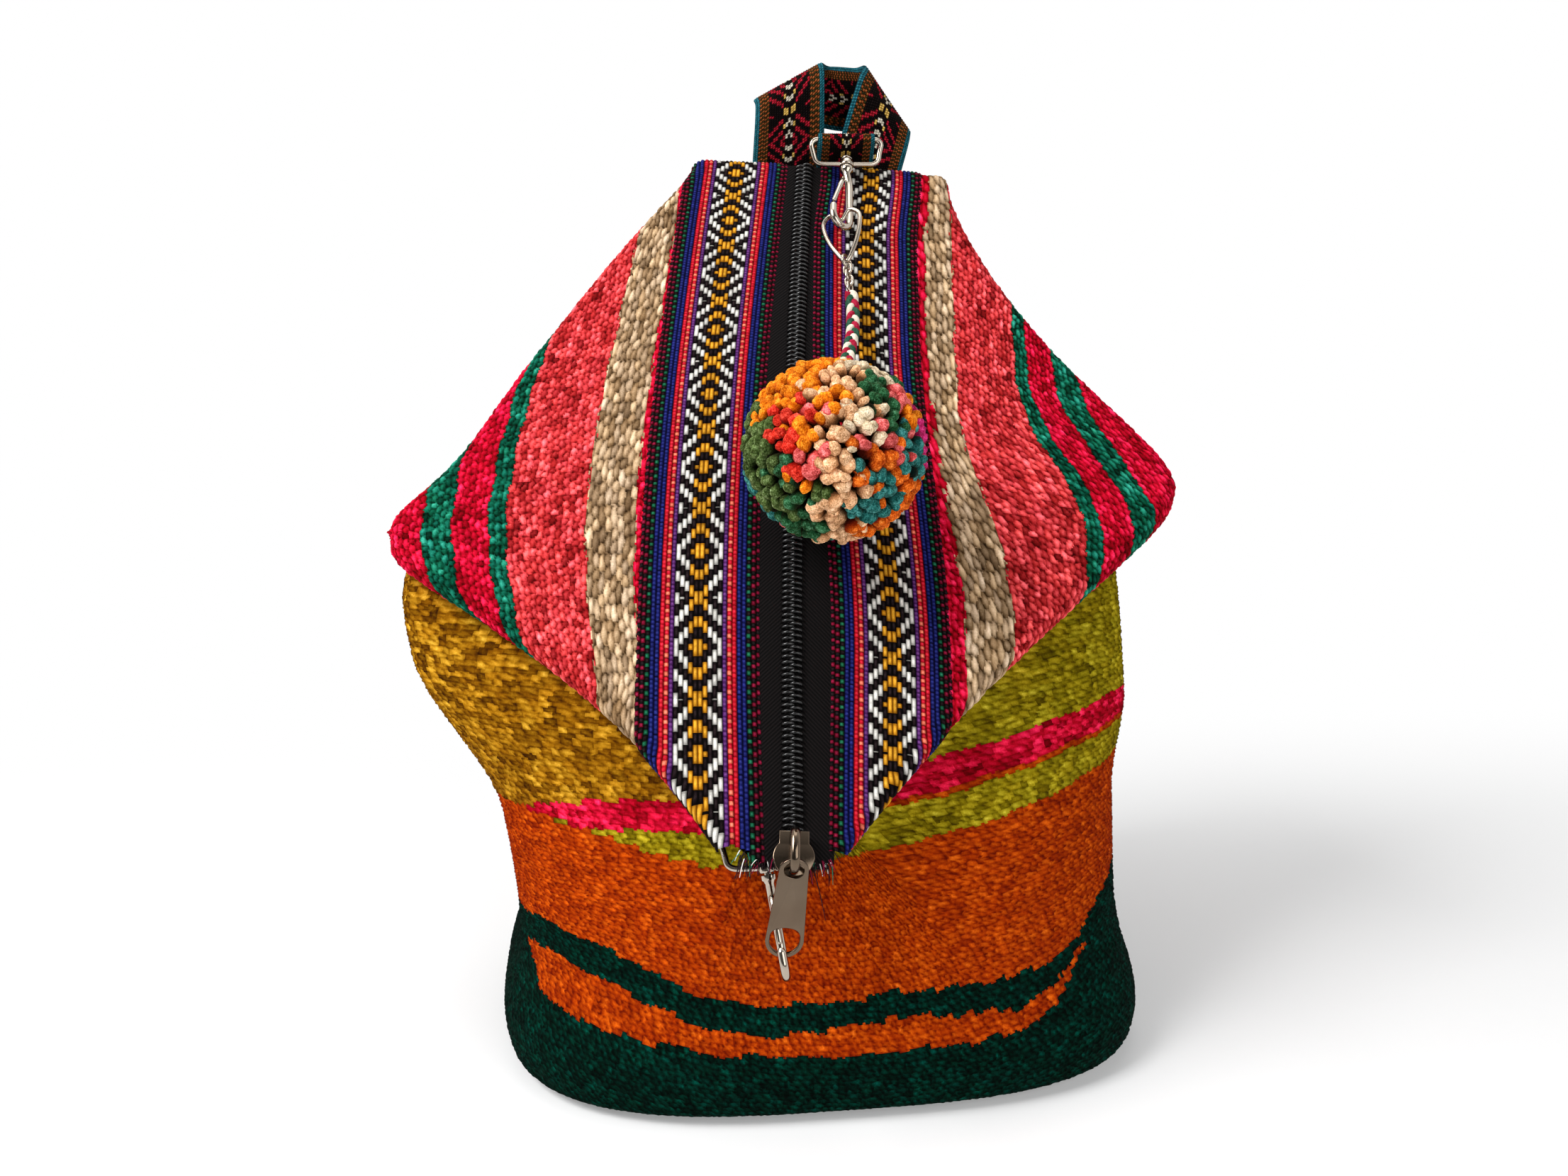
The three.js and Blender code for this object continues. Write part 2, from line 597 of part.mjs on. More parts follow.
function slider() {
  const half = SLIDER_LENGTH / 2;
  const side = SLIDER_WIDTH / 2;
  const shoulder = SHIELD_SHOULDER * side;
  const neck = SHIELD_NECK * half;
  const hip = SHIELD_HIP * half;
  const foot = SHIELD_FOOT * side;
  const shield = new THREE.Shape();
  shield.moveTo(-shoulder, half);
  shield.lineTo(shoulder, half);
  shield.lineTo(shoulder, neck);
  shield.quadraticCurveTo(side, hip, side, -hip);
  shield.quadraticCurveTo(foot, -half, 0, -half);
  shield.quadraticCurveTo(-foot, -half, -side, -hip);
  shield.quadraticCurveTo(-side, hip, -shoulder, neck);
  const plate = new THREE.ExtrudeGeometry(shield, {
    depth: SLIDER_PLATE, bevelEnabled: false, curveSegments: 5,
  }).translate(0, 0, PLATE_BASE);
  const flangeHeight = PLATE_BASE - COIL_BASE + SLIDER_PLATE / 2;
  const flange = (x) => new THREE.BoxGeometry(FLANGE_THICKNESS, FLANGE_LENGTH, flangeHeight)
    .translate(x, half / 2, COIL_BASE + flangeHeight / 2);
  const rise = PLATE_TOP + BAIL_RISE - BAIL_RADIUS;
  const sunk = PLATE_TOP - SLIDER_PLATE / 2;
  const arch = new THREE.CatmullRomCurve3([
    new THREE.Vector3(0, BAIL_FOOT, sunk),
    new THREE.Vector3(0, BAIL_FOOT, rise - BAIL_CORNER),
    new THREE.Vector3(0, BAIL_FOOT - BAIL_CORNER, rise),
    new THREE.Vector3(0, BAIL_CORNER - BAIL_FOOT, rise),
    new THREE.Vector3(0, -BAIL_FOOT, rise - BAIL_CORNER),
    new THREE.Vector3(0, -BAIL_FOOT, sunk),
  ]);
  const bail = wire(arch.getPoints(18), X, BAIL_RADIUS, { sides: 6 });
  const edge = shoulder - FLANGE_THICKNESS / 2;
  return surface([flange(edge), flange(-edge), bail].reduce((sum, g) => sum.add(solid(g)), solid(plate)));
}

add('zip_slider', slider(), nickel, tipFrame);

// Pull: hangs on the bail by its slot, with an arched hole at its foot

const pullPivot = flapPoint(-BAIL_FOOT, 0)
  .addScaledVector(flapNormal, PLATE_TOP - crown(-BAIL_FOOT, 0) + PULL_STAND);
const pullFrame = new THREE.Group();
pullFrame.position.copy(pullPivot);
pullFrame.rotation.set(radians(RIGHT_ANGLE + PULL_LEAN), 0, radians(-PULL_SLANT));
part.add(pullFrame);

const PULL_HEAD = PULL_SLOT_HEIGHT / 2 + PULL_RIM;
const PULL_FOOT = PULL_LENGTH - PULL_HEAD;

function pull() {
  const top = PULL_TOP_WIDTH / 2;
  const foot = PULL_FOOT_WIDTH / 2;
  const outline = new THREE.Shape();
  outline.absellipse(0, 0, top, PULL_HEAD, Math.PI, 0, true);
  outline.lineTo(foot, -PULL_FOOT + foot);
  outline.absellipse(0, -PULL_FOOT + foot, foot, foot, 0, -Math.PI, true);
  const slot = roundHole(top - PULL_RIM, PULL_SLOT_HEIGHT / 2);
  const inner = foot - PULL_RIM;
  const low = -PULL_FOOT + foot;
  const arch = new THREE.Path();
  const crest = low + PULL_HOLE_HEIGHT - inner;
  arch.absellipse(0, low, inner, inner, Math.PI, 2 * Math.PI, false);
  arch.lineTo(inner, low + 1);
  arch.quadraticCurveTo(inner, crest, 0, crest);
  arch.quadraticCurveTo(-inner, crest, -inner, low + 1);
  outline.holes.push(slot, arch);
  return new THREE.ExtrudeGeometry(outline, {
    depth: PULL_THICKNESS, bevelEnabled: false, curveSegments: 7,
  }).translate(0, 0, -PULL_THICKNESS / 2);
}

add('zip_pull', pull(), nickel, pullFrame);

// Snap hook: a trapezoid ring with a hub, a swivelling hook and its gate.
// In the hook's frame y runs down from the hub, x runs from the body to the nose, z is the pin's direction.

const HOOK_BACK = -HOOK_SPREAD / 6;
const HOOK_NOSE = HOOK_BACK + HOOK_SPREAD;
const NOSE_END = HOOK_LENGTH - HOOK_MOUTH;
const GATE_ROOT = new THREE.Vector3(HOOK_WIRE + GATE_RADIUS + HOOK_BACK + 2 * CLEARANCE, GATE_DROP, 0);
const COLLAR = HUB_HEIGHT / 2 + 2 * CLEARANCE;

function hook() {
  const bow = HOOK_SPREAD / 2;
  const arc = (angle) => new THREE.Vector3(
    HOOK_BACK + bow - bow * Math.cos(radians(angle)),
    HOOK_LENGTH - bow + bow * Math.sin(radians(angle)),
    0,
  );
  const body = new THREE.CatmullRomCurve3([
    new THREE.Vector3(0, COLLAR + 3, 0),
    new THREE.Vector3(HOOK_BACK * 0.8, COLLAR + HOOK_SHOULDER, 0),
    new THREE.Vector3(HOOK_BACK, HOOK_LENGTH * 0.6, 0),
    arc(10), arc(50), arc(90), arc(130), arc(170),
    new THREE.Vector3(HOOK_NOSE, NOSE_END, 0),
  ]);
  const STEPS = 19;
  const points = [];
  const radii = [];
  const station = (y, radius) => {
    points.push(new THREE.Vector3(0, y, 0));
    radii.push(radius);
  };
  const head = 0.8 * HUB_RADIUS;
  const step = 0.05;
  station(-COLLAR - 1.2, head);
  station(-COLLAR, head);
  station(step - COLLAR, NECK_RADIUS);
  station(COLLAR - step, NECK_RADIUS);
  station(COLLAR, 0.9 * HUB_RADIUS);
  station(COLLAR + 2, 0.9 * HUB_RADIUS);
  for (let i = 0; i <= STEPS; i += 1) {
    points.push(body.getPoint(i / STEPS));
    radii.push(lerp(HOOK_WIRE, 0.85 * HOOK_WIRE, i / STEPS));
  }
  return wire(points, Z, (i) => radii[i]);
}

function gate() {
  const end = new THREE.Vector3(HOOK_NOSE, NOSE_END - 2 * CLEARANCE, 0);
  const slope = end.clone().sub(GATE_ROOT).normalize();
  end.addScaledVector(slope, -GATE_RADIUS * 0.5);
  const points = [0, 0.05, 0.35, 0.37, 0.95, 1].map((t) => GATE_ROOT.clone().lerp(end, t));
  const shape = [0.6, 1, 1, 0.85, 0.85, 0.5];
  return wire(points, Z, (i) => GATE_RADIUS * shape[i]);
}

/** The ring, with its upper bar at y = 0 and the hub's axis along `axis` in the ring's own frame. */
function ring(axis) {
  const half = RING_WIDTH / 2;
  const low = half - 1;
  const corner = 3;
  const path = new THREE.Shape();
  path.moveTo(-half + corner, 0);
  path.lineTo(half - corner, 0);
  path.quadraticCurveTo(half, 0, half, corner);
  path.lineTo(low, RING_DROP - corner);
  path.quadraticCurveTo(low, RING_DROP, low - corner, RING_DROP);
  path.lineTo(corner - low, RING_DROP);
  path.quadraticCurveTo(-low, RING_DROP, -low, RING_DROP - corner);
  path.lineTo(-half, corner);
  path.quadraticCurveTo(-half, 0, -half + corner, 0);
  const outline = path.getPoints(4).slice(0, -1).map((p) => new THREE.Vector3(p.x, p.y, 0));
  const loop = solid(wire(outline, Z, RING_WIRE, { sides: 6, loop: true }));
  const bore = NECK_RADIUS + CLEARANCE;
  const SIDES = 14;
  const turn = new THREE.Quaternion().setFromUnitVectors(Y, axis);
  const place = (geometry) => geometry.applyQuaternion(turn).translate(0, RING_DROP, 0);
  const profile = [
    [bore, -HUB_HEIGHT / 2], [HUB_RADIUS, -HUB_HEIGHT / 2], [HUB_RADIUS, HUB_HEIGHT / 2],
    [bore, HUB_HEIGHT / 2], [bore, -HUB_HEIGHT / 2],
  ].map(([x, y]) => new THREE.Vector2(x, y));
  const hub = solid(place(new THREE.LatheGeometry(profile, SIDES)));
  const drill = solid(place(new THREE.CylinderGeometry(bore + 0.2, bore + 0.2, 3 * HUB_HEIGHT, SIDES)));
  return surface(loop.subtract(drill).add(hub));
}

/** A strap end folded round the ring's bar and sewn down at `seam`, given in the plane square to the bar. */
function strapTab(seam, width) {
  const bore = RING_WIRE + CLEARANCE;
  const outer = bore + STRAP_TAB_PLY;
  const reach = seam.length();
  const heading = Math.atan2(seam.y, seam.x);
  const open = Math.acos((outer - STRAP_TAB_PLY) / reach);
  const foot = (side) => new THREE.Vector2(
    reach * Math.cos(heading) - side * STRAP_TAB_PLY * Math.sin(heading),
    reach * Math.sin(heading) + side * STRAP_TAB_PLY * Math.cos(heading),
  );
  const outline = new THREE.Shape();
  outline.absarc(0, 0, outer, heading + open, heading - open + 2 * Math.PI, false);
  outline.lineTo(foot(-1).x, foot(-1).y);
  outline.lineTo(foot(1).x, foot(1).y);
  outline.holes.push(roundHole(bore, bore));
  return new THREE.ExtrudeGeometry(outline, { depth: width, bevelEnabled: false, curveSegments: 10 })
    .translate(0, 0, -width / 2);
}

const TAB_SLACK = 6.6;
const LOWER_TAB_SLACK = 3.4;
const TAB_WIDTH = RING_WIDTH - 2 * RING_WIRE - TAB_SLACK;
const LOWER_TAB_WIDTH = TAB_WIDTH - LOWER_TAB_SLACK;

/** Places a geometry by the world directions of its own axes. */
function framed(geometry, origin, x, y) {
  const z = new THREE.Vector3().crossVectors(x, y);
  return geometry.applyMatrix4(new THREE.Matrix4().makeBasis(x, y, z).setPosition(origin));
}

/** A ring hung from `bar` along `down`, its hub in line with the hook's `axis`. */
function hungRing(bar, down, axis) {
  const out = new THREE.Vector3().crossVectors(X, down);
  const local = new THREE.Vector3(axis.dot(X), axis.dot(down), axis.dot(out)).normalize();
  return framed(ring(local), bar, X, down);
}

// Lower snap: its nose comes through the pull's hole, so the hook is placed from the pull's rim

const RIM_ALONG_HOOK = HOOK_LENGTH - RIM_FROM_BOW;
const RIM_ACROSS_HOOK = HOOK_BACK + HOOK_SPREAD / 2;
const pullRim = new THREE.Vector3(0, -PULL_FOOT + PULL_RIM / 2, 0);
pullFrame.updateMatrixWorld();
pullRim.applyMatrix4(pullFrame.matrixWorld);

const lowerDown = new THREE.Vector3(
  Math.sin(radians(LOWER_HOOK_SLANT)),
  -Math.cos(radians(LOWER_HOOK_SLANT)) * Math.sin(radians(LOWER_HOOK_LEAN)),
  -Math.cos(radians(LOWER_HOOK_SLANT)) * Math.cos(radians(LOWER_HOOK_LEAN)),
);
const lowerPin = new THREE.Vector3().crossVectors(new THREE.Vector3(0, -1, 0), lowerDown).normalize();
const lowerFront = new THREE.Vector3().crossVectors(lowerDown, lowerPin);
const lowerHub = pullRim.clone()
  .addScaledVector(lowerDown, -RIM_ALONG_HOOK)
  .addScaledVector(lowerFront, -RIM_ACROSS_HOOK);
add('lower_hook', framed(hook(), lowerHub, lowerFront, lowerDown), nickel);
add('lower_gate', framed(gate(), lowerHub, lowerFront, lowerDown), nickel);

const LOWER_RING_LEAN = 37;
const lowerRingDown = Z.clone().negate().applyAxisAngle(X, -radians(LOWER_RING_LEAN));
const lowerBar = lowerHub.clone().addScaledVector(lowerRingDown, -RING_DROP);
add('lower_ring', hungRing(lowerBar, lowerRingDown, lowerDown), nickel);

/** Depth of the wall at a place across and a height, in front for a `face` of -1 and behind for 1. */
function wallDepth(x, z, face) {
  const row = flapEdge.map((edge) => ({ edge, top: wallTop(edge) }))
    .filter(({ edge, top }) => face * Math.sin(edge.angle) > 0 && top.z > z)
    .map(({ edge, top }) => wallPoint(edge.angle, z, top))
    .sort((a, b) => a.x - b.x);
  const next = Math.max(1, row.findIndex((point) => point.x > x));
  const [a, b] = [row[next - 1], row[next]];
  return lerp(a.y, b.y, (x - a.x) / (b.x - a.x));
}

const LOWER_SEAM_RISE = 1;
const lowerSeat = Math.min(...[-1, 0, 1].map((side) => (
  wallDepth(lowerBar.x + (side * LOWER_TAB_WIDTH) / 2, lowerBar.z + LOWER_SEAM_RISE, -1)
)));
const lowerReach = lowerBar.y - lowerSeat + 2 * CLEARANCE + STRAP_TAB_PLY / 2;
const lowerSeam = new THREE.Vector2(-lowerReach, LOWER_SEAM_RISE);
add('lower_tab', framed(strapTab(lowerSeam, LOWER_TAB_WIDTH), lowerBar, Y, Z), weave);

// Upper snap: stands at the top edge and lies down the flap

const hubAlong = FLAP_LENGTH - 1;
const upperHub = flapPoint(hubAlong, UPPER_HOOK_OFFSET, UPPER_HOOK_HEIGHT);
const upperDown = flapAlong.clone().negate();
const upperRoll = radians(UPPER_HOOK_ROLL);
const upperNose = flapAcross.clone().multiplyScalar(-Math.cos(upperRoll))
  .addScaledVector(flapNormal, Math.sin(upperRoll));
add('upper_hook', framed(hook(), upperHub, upperNose, upperDown), nickel);
add('upper_gate', framed(gate(), upperHub, upperNose, upperDown), nickel);

const UPPER_RING_LEAN = 12;
const upperRingDown = Z.clone().negate().applyAxisAngle(X, -radians(UPPER_RING_LEAN));
const upperBar = upperHub.clone().addScaledVector(upperRingDown, -RING_DROP);
add('upper_ring', hungRing(upperBar, upperRingDown, upperDown), nickel);

const topEdge = flapPoint(FLAP_LENGTH, UPPER_HOOK_OFFSET)
  .addScaledVector(flapAlong, TOP_LIP_RADIUS * Math.SQRT1_2)
  .addScaledVector(flapNormal, TOP_LIP_RADIUS * (Math.SQRT1_2 - 1));
const upperSeam = new THREE.Vector2(
  topEdge.y - upperBar.y + STRAP_TAB_PLY / 2,
  topEdge.z - upperBar.z + STRAP_TAB_PLY + CLEARANCE,
);
add('upper_tab', framed(strapTab(upperSeam, TAB_WIDTH), upperBar, Y, Z), weave);

// Charm: heart ring, small ring, chain, cord and pompom, lying down the flap from the hook's bow

const CHARM_DRIFT = 6;
const charmDown = upperDown.clone().multiplyScalar(Math.cos(radians(CHARM_DRIFT)))
  .addScaledVector(flapAcross, Math.sin(radians(CHARM_DRIFT)));
const charmAcross = new THREE.Vector3().crossVectors(flapNormal, charmDown).normalize();

/** Direction across the charm, turned about its run by `roll` degrees from lying flat. */
const rolled = (roll) => charmAcross.clone().multiplyScalar(Math.cos(radians(roll)))
  .addScaledVector(flapNormal, Math.sin(radians(roll)));

const heartTop = upperHub.clone()
  .addScaledVector(upperDown, HOOK_LENGTH - HOOK_WIRE - HEART_WIRE - CLEARANCE)
  .addScaledVector(upperNose, HOOK_BACK + HOOK_SPREAD / 2);

function heartRing() {
  const half = HEART_WIDTH / 2 - HEART_WIRE;
  const lobe = HEART_LENGTH * HEART_LOBE;
  const right = [
    [half / 2, -lobe], [0.95 * half, -lobe * 0.3], [0.92 * half, HEART_LENGTH * HEART_SIDE],
    [half / 2, HEART_LENGTH * HEART_TAPER],
  ];
  const foot = HEART_LENGTH - lobe;
  const outline = [
    [0, 0], ...right, [0, foot], ...right.map(([x, y]) => [-x, y]).reverse(),
  ].map(([x, y]) => new THREE.Vector3(x, y, 0));
  const curve = new THREE.CatmullRomCurve3(outline, true);
  return { geometry: wire(curve.getPoints(34).slice(0, -1), Z, HEART_WIRE, { sides: 6, loop: true }), foot };
}

const heart = heartRing();
add('heart_ring', framed(heart.geometry, heartTop, rolled(HEART_ROLL), charmDown), nickel);

/** A flat ring of wire with straight sides of `length` between round ends, its top at y = 0. */
function oval(width, length, radius) {
  const half = width / 2;
  const ARC = 8;
  const end = (centre, from) => Array.from({ length: ARC }, (_, i) => {
    const angle = from + (Math.PI * (i + 0.5)) / ARC;
    return new THREE.Vector3(half * Math.cos(angle), centre + half * Math.sin(angle), 0);
  });
  const outline = [...end(length - half, 0), ...end(half, Math.PI)];
  return wire(outline, Z, radius, { sides: 6, loop: true });
}

const slack = 0.4;
const chainStart = heartTop.clone()
  .addScaledVector(charmDown, heart.foot - HEART_WIRE - SMALL_RING_WIRE - 2.4 * slack);
const ringLength = 2 * SMALL_RING_RADIUS;
const smallRing = oval(ringLength, ringLength, SMALL_RING_WIRE);
add('small_ring', framed(smallRing, chainStart, rolled(LINK_ROLL - RIGHT_ANGLE), charmDown), nickel);

const linkTop = chainStart.clone()
  .addScaledVector(charmDown, ringLength - SMALL_RING_WIRE - LINK_WIRE - slack);
const linkPitch = LINK_LENGTH - 2 * LINK_WIRE - slack;
for (let i = 0; i < LINK_COUNT; i += 1) {
  const top = linkTop.clone().addScaledVector(charmDown, i * linkPitch);
  const link = oval(LINK_WIDTH, LINK_LENGTH, LINK_WIRE);
  const roll = LINK_ROLL - RIGHT_ANGLE * (i % 2);
  add(`chain_link_${i + 1}`, framed(link, top, rolled(roll), charmDown), nickel);
}

const pompomHeight = POMPOM_RADIUS + POMPOM_TUFT + COIL_BASE + COIL_HEIGHT + 2 * CLEARANCE;
const pompomCentre = flapPoint(POMPOM_ALONG, POMPOM_ACROSS, pompomHeight);

/** Radius of the tufted pompom in a direction. */
function tuftRadius({ x, y, z }) {
  return POMPOM_RADIUS + POMPOM_TUFT * Math.sin(7 * x + 1) * Math.sin(8 * y) * Math.sin(7 * z + 2);
}

function charmCord() {
  const route = new THREE.CatmullRomCurve3(CORD_ROUTE.map((point) => new THREE.Vector3(...point)));
  const section = new THREE.Shape(roundHole(CORD_DIAMETER / 2, CORD_DIAMETER / 2, 10).getPoints());
  return new THREE.ExtrudeGeometry(section, { extrudePath: route, steps: 7 });
}

function pompom() {
  const geometry = new THREE.SphereGeometry(1, 20, 13);
  const place = geometry.attributes.position;
  const point = new THREE.Vector3();
  for (let i = 0; i < place.count; i += 1) {
    point.fromBufferAttribute(place, i);
    point.multiplyScalar(tuftRadius(point));
    place.setXYZ(i, point.x, point.y, point.z);
  }
  return geometry.translate(...pompomCentre.toArray());
}

add('charm_cord', charmCord(), weave);
add('pompom', pompom(), cloth(0xd8783c));

// Handle: a flat strap with both ends sewn behind the top edge, mitred back into a loop

function handle() {
  const left = HANDLE_SHIFT - HANDLE_WIDTH;
  const flared = left - HANDLE_FLARE;
  const right = HANDLE_SHIFT + HANDLE_GAP;
  const spread = right + HANDLE_WIDTH;
  const corner = spread + 2 * HANDLE_FOLD;
  const crook = right + HANDLE_CROOK;
  const half = HANDLE_THICKNESS / 2;
  const leg = TOP_LIP_RADIUS * (1 - flapNormal.y) + 2 * CLEARANCE + half;
  const far = leg + HANDLE_DEPTH;
  const fold = (leg + far) / 2;
  const [high, low] = [HANDLE_LEFT_CORNER, HANDLE_RIGHT_CORNER];
  const line = (ax, az, bx, bz, y) => {
    const [a, b] = [[ax, az], [bx, bz]].map(([x, z]) => (
      FLAP_TOP.clone().addScaledVector(flapAcross, x).add(new THREE.Vector3(0, y, z))
    ));
    return [a, a.clone().lerp(b, 0.5), b];
  };
  const foot = (ax, bx) => {
    const depths = [ax, (ax + bx) / 2, bx].map((x) => wallDepth(FLAP_TOP.x + x, FLAP_TOP.z - HANDLE_FOOT, 1));
    const seat = Math.max(...depths) - FLAP_TOP.y + 3 * CLEARANCE + half;
    return line(ax, -HANDLE_FOOT, bx, -HANDLE_FOOT, seat);
  };
  return ribbon([
    foot(flared, HANDLE_SHIFT),
    line(flared, -HANDLE_SEAM, HANDLE_SHIFT, -HANDLE_SEAM, leg),
    line(left, high, HANDLE_SHIFT, HANDLE_RISE - HANDLE_FOLD, leg),
    line(left, high + HANDLE_FOLD, HANDLE_SHIFT, HANDLE_RISE, fold),
    line(left + 3 * HANDLE_FOLD, high, HANDLE_SHIFT + HANDLE_FOLD, HANDLE_RISE, far),
    line(right + HANDLE_FOLD, low, right + 2 * HANDLE_FOLD, HANDLE_RISE, far),
    line(spread - 2 * HANDLE_FOLD, low, crook - HANDLE_FOLD, HANDLE_RISE, far),
    line(corner, low, crook, HANDLE_RISE, fold),
    line(corner, low - HANDLE_FOLD, crook - HANDLE_FOLD, HANDLE_RISE - 2 * HANDLE_FOLD, leg),
    line(spread, -HANDLE_SEAM, right, -HANDLE_SEAM, leg),
    foot(spread - HANDLE_FLARE, right),
  ], HANDLE_THICKNESS, 44);
}

add('handle_strap', handle(), weave);

// Shoulder straps, sewn to the back under the top edge and at the base

function shoulderStrap(side) {
  const off = 4 * CLEARANCE + SHOULDER_THICKNESS / 2;
  const top = FLAP_TOP.z - SHOULDER_TOP_DROP;
  const station = (share, bow) => {
    const x = side * lerp(SHOULDER_TOP_X, SHOULDER_FOOT_X, share);
    const z = lerp(top, SHOULDER_FOOT_HEIGHT, share);
    return [-1, -0.33, 0.33, 1].map((edge) => {
      const across = x + (edge * SHOULDER_WIDTH) / 2;
      return new THREE.Vector3(across, wallDepth(across, z, 1) + off + bow, z);
    });
  };
  return ribbon([
    station(0, 0), station(0.06, 0.6), station(0.25, SHOULDER_BOW * 0.7), station(0.5, SHOULDER_BOW),
    station(0.78, SHOULDER_BOW * 0.7), station(0.94, 1.5), station(1, 0),
  ], SHOULDER_THICKNESS, 18);
}

add('shoulder_strap_left', shoulderStrap(-1), weave);
add('shoulder_strap_right', shoulderStrap(1), weave);

export default part;
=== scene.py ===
"""A woven wool backpack, its zipped mouth folded over in front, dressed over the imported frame."""
import math

import bmesh
import bpy
import numpy as np
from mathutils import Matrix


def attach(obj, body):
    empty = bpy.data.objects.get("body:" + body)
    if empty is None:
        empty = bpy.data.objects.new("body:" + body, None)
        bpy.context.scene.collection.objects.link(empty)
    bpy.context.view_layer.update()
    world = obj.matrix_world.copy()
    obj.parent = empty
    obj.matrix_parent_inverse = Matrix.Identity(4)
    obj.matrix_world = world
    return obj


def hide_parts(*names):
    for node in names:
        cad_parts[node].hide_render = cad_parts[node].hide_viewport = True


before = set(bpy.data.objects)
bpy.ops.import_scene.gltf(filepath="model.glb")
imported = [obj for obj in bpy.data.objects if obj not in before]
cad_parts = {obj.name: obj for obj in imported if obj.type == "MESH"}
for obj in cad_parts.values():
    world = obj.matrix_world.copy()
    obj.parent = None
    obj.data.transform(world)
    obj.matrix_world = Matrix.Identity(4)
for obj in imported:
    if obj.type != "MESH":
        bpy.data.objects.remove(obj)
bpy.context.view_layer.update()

# Camera
# It stands in front of the bag, a little to the left and above, and looks down on it.
LENS, SENSOR = 32.55, 36.0
CAMERA_PLACE = (-0.04887, -0.52687, 0.284)
CAMERA_DIP = math.radians(12.5)
CAMERA_TURN = math.radians(-4)

camera = bpy.data.objects.new("camera", bpy.data.cameras.new("camera"))
camera.data.sensor_width = SENSOR
camera.data.lens = LENS
camera.location = CAMERA_PLACE
camera.rotation_euler = (math.pi / 2 - CAMERA_DIP, 0, CAMERA_TURN)
bpy.context.scene.collection.objects.link(camera)
bpy.context.scene.camera = camera
bpy.context.scene.view_settings.view_transform = "Standard"

# Charm cord
# A limp cord of three strands of twisted wool, white, dark green and crimson, plaited together. It hangs
# from the last link of the charm's chain, lies down the flap and is knotted into the pompom.
MM = 0.001
X_AXIS, Z_AXIS = (1.0, 0.0, 0.0), (0.0, 0.0, 1.0)
CORD_ROUTE = [
    (0.017, 0.0375, 0.2765), (0.017, 0.034, 0.2725), (0.017, 0.0305, 0.269), (0.0165, 0.027, 0.266),
    (0.016, 0.023, 0.2635), (0.0155, 0.019, 0.261), (0.0145, 0.015, 0.259), (0.0135, 0.0105, 0.2565),
    (0.0125, 0.006, 0.2545), (0.0115, 0.0015, 0.2525), (0.0105, -0.003, 0.250), (0.0095, -0.0075, 0.248),
    (0.0085, -0.012, 0.246), (0.0075, -0.017, 0.2435), (0.0065, -0.0215, 0.241),
]
CORD_DIAMETER = 5.4
CORD_STEPS, CORD_SIDES = 160, 10
STRAND_COLOURS = [(226, 214, 190), (28, 62, 44), (150, 18, 40)]
PLAIT_PITCH = 13.0
PLAIT_SHARE = (0.5, 0.42)
SHEEN_TINT = (0.5, 0.35, 0.2, 1)


def unit(vectors):
    """Each vector over its own length."""
    return vectors / np.linalg.norm(vectors, axis=-1, keepdims=True)


def linear(colours):
    """Screen colours from 0 to 255 as linear light, by the sRGB curve."""
    share = np.asarray(colours, float) / 255
    return np.where(share <= 0.04045, share / 12.92, ((share + 0.055) / 1.055) ** 2.4)


def run_along(points, power=1.0):
    """Run from the first point of a line to each of them: the sum of its steps, each to a power."""
    return np.concatenate([[0], np.cumsum(np.linalg.norm(np.diff(points, axis=0), axis=1) ** power)])


def through(points, count):
    """A smooth run through points: a Catmull-Rom spline with knots a square root of each chord apart."""
    points = np.asarray(points, float)
    held = np.concatenate([2 * points[:1] - points[1:2], points, 2 * points[-1:] - points[-2:-1]])
    knot = run_along(held, 0.5)
    place = np.linspace(0, len(points) - 1, count)
    first = np.minimum(place.astype(int), len(points) - 2)
    t = (knot[first + 1] + (place - first) * (knot[first + 2] - knot[first + 1]))[:, None]
    p = [held[first + k] for k in range(4)]
    k = [knot[first + i][:, None] for i in range(4)]

    def mix(a, b, low, high):
        return ((high - t) * a + (t - low) * b) / (high - low)

    a = [mix(p[i], p[i + 1], k[i], k[i + 1]) for i in range(3)]
    b = [mix(a[i], a[i + 1], k[i], k[i + 2]) for i in range(2)]
    return mix(b[0], b[1], k[1], k[2])


def grid_quads(rows, columns, round_columns=False):
    """Quads of a grid kept row by row, whose columns may join round."""
    start = np.arange(rows * columns).reshape(rows, columns)
    if round_columns:
        start = np.concatenate([start, start[:, :1]], axis=1)
    corners = [start[:-1, :-1], start[1:, :-1], start[1:, 1:], start[:-1, 1:]]
    return np.stack(corners, axis=-1).reshape(-1, 4)


def ring_quads(rows, sides, loop):
    """Quads of rings in a row, joined round where it is a loop, or else closed by flat ends of quads."""
    if loop:
        return (np.arange((rows + 1) * sides) % (rows * sides))[grid_quads(rows + 1, sides, True)]
    k = np.arange(sides // 2 - 1)
    cap = np.stack([k, k + 1, sides - 2 - k, sides - 1 - k], axis=-1)
    return np.concatenate([grid_quads(rows, sides, True), cap, cap[:, ::-1] + (rows - 1) * sides])


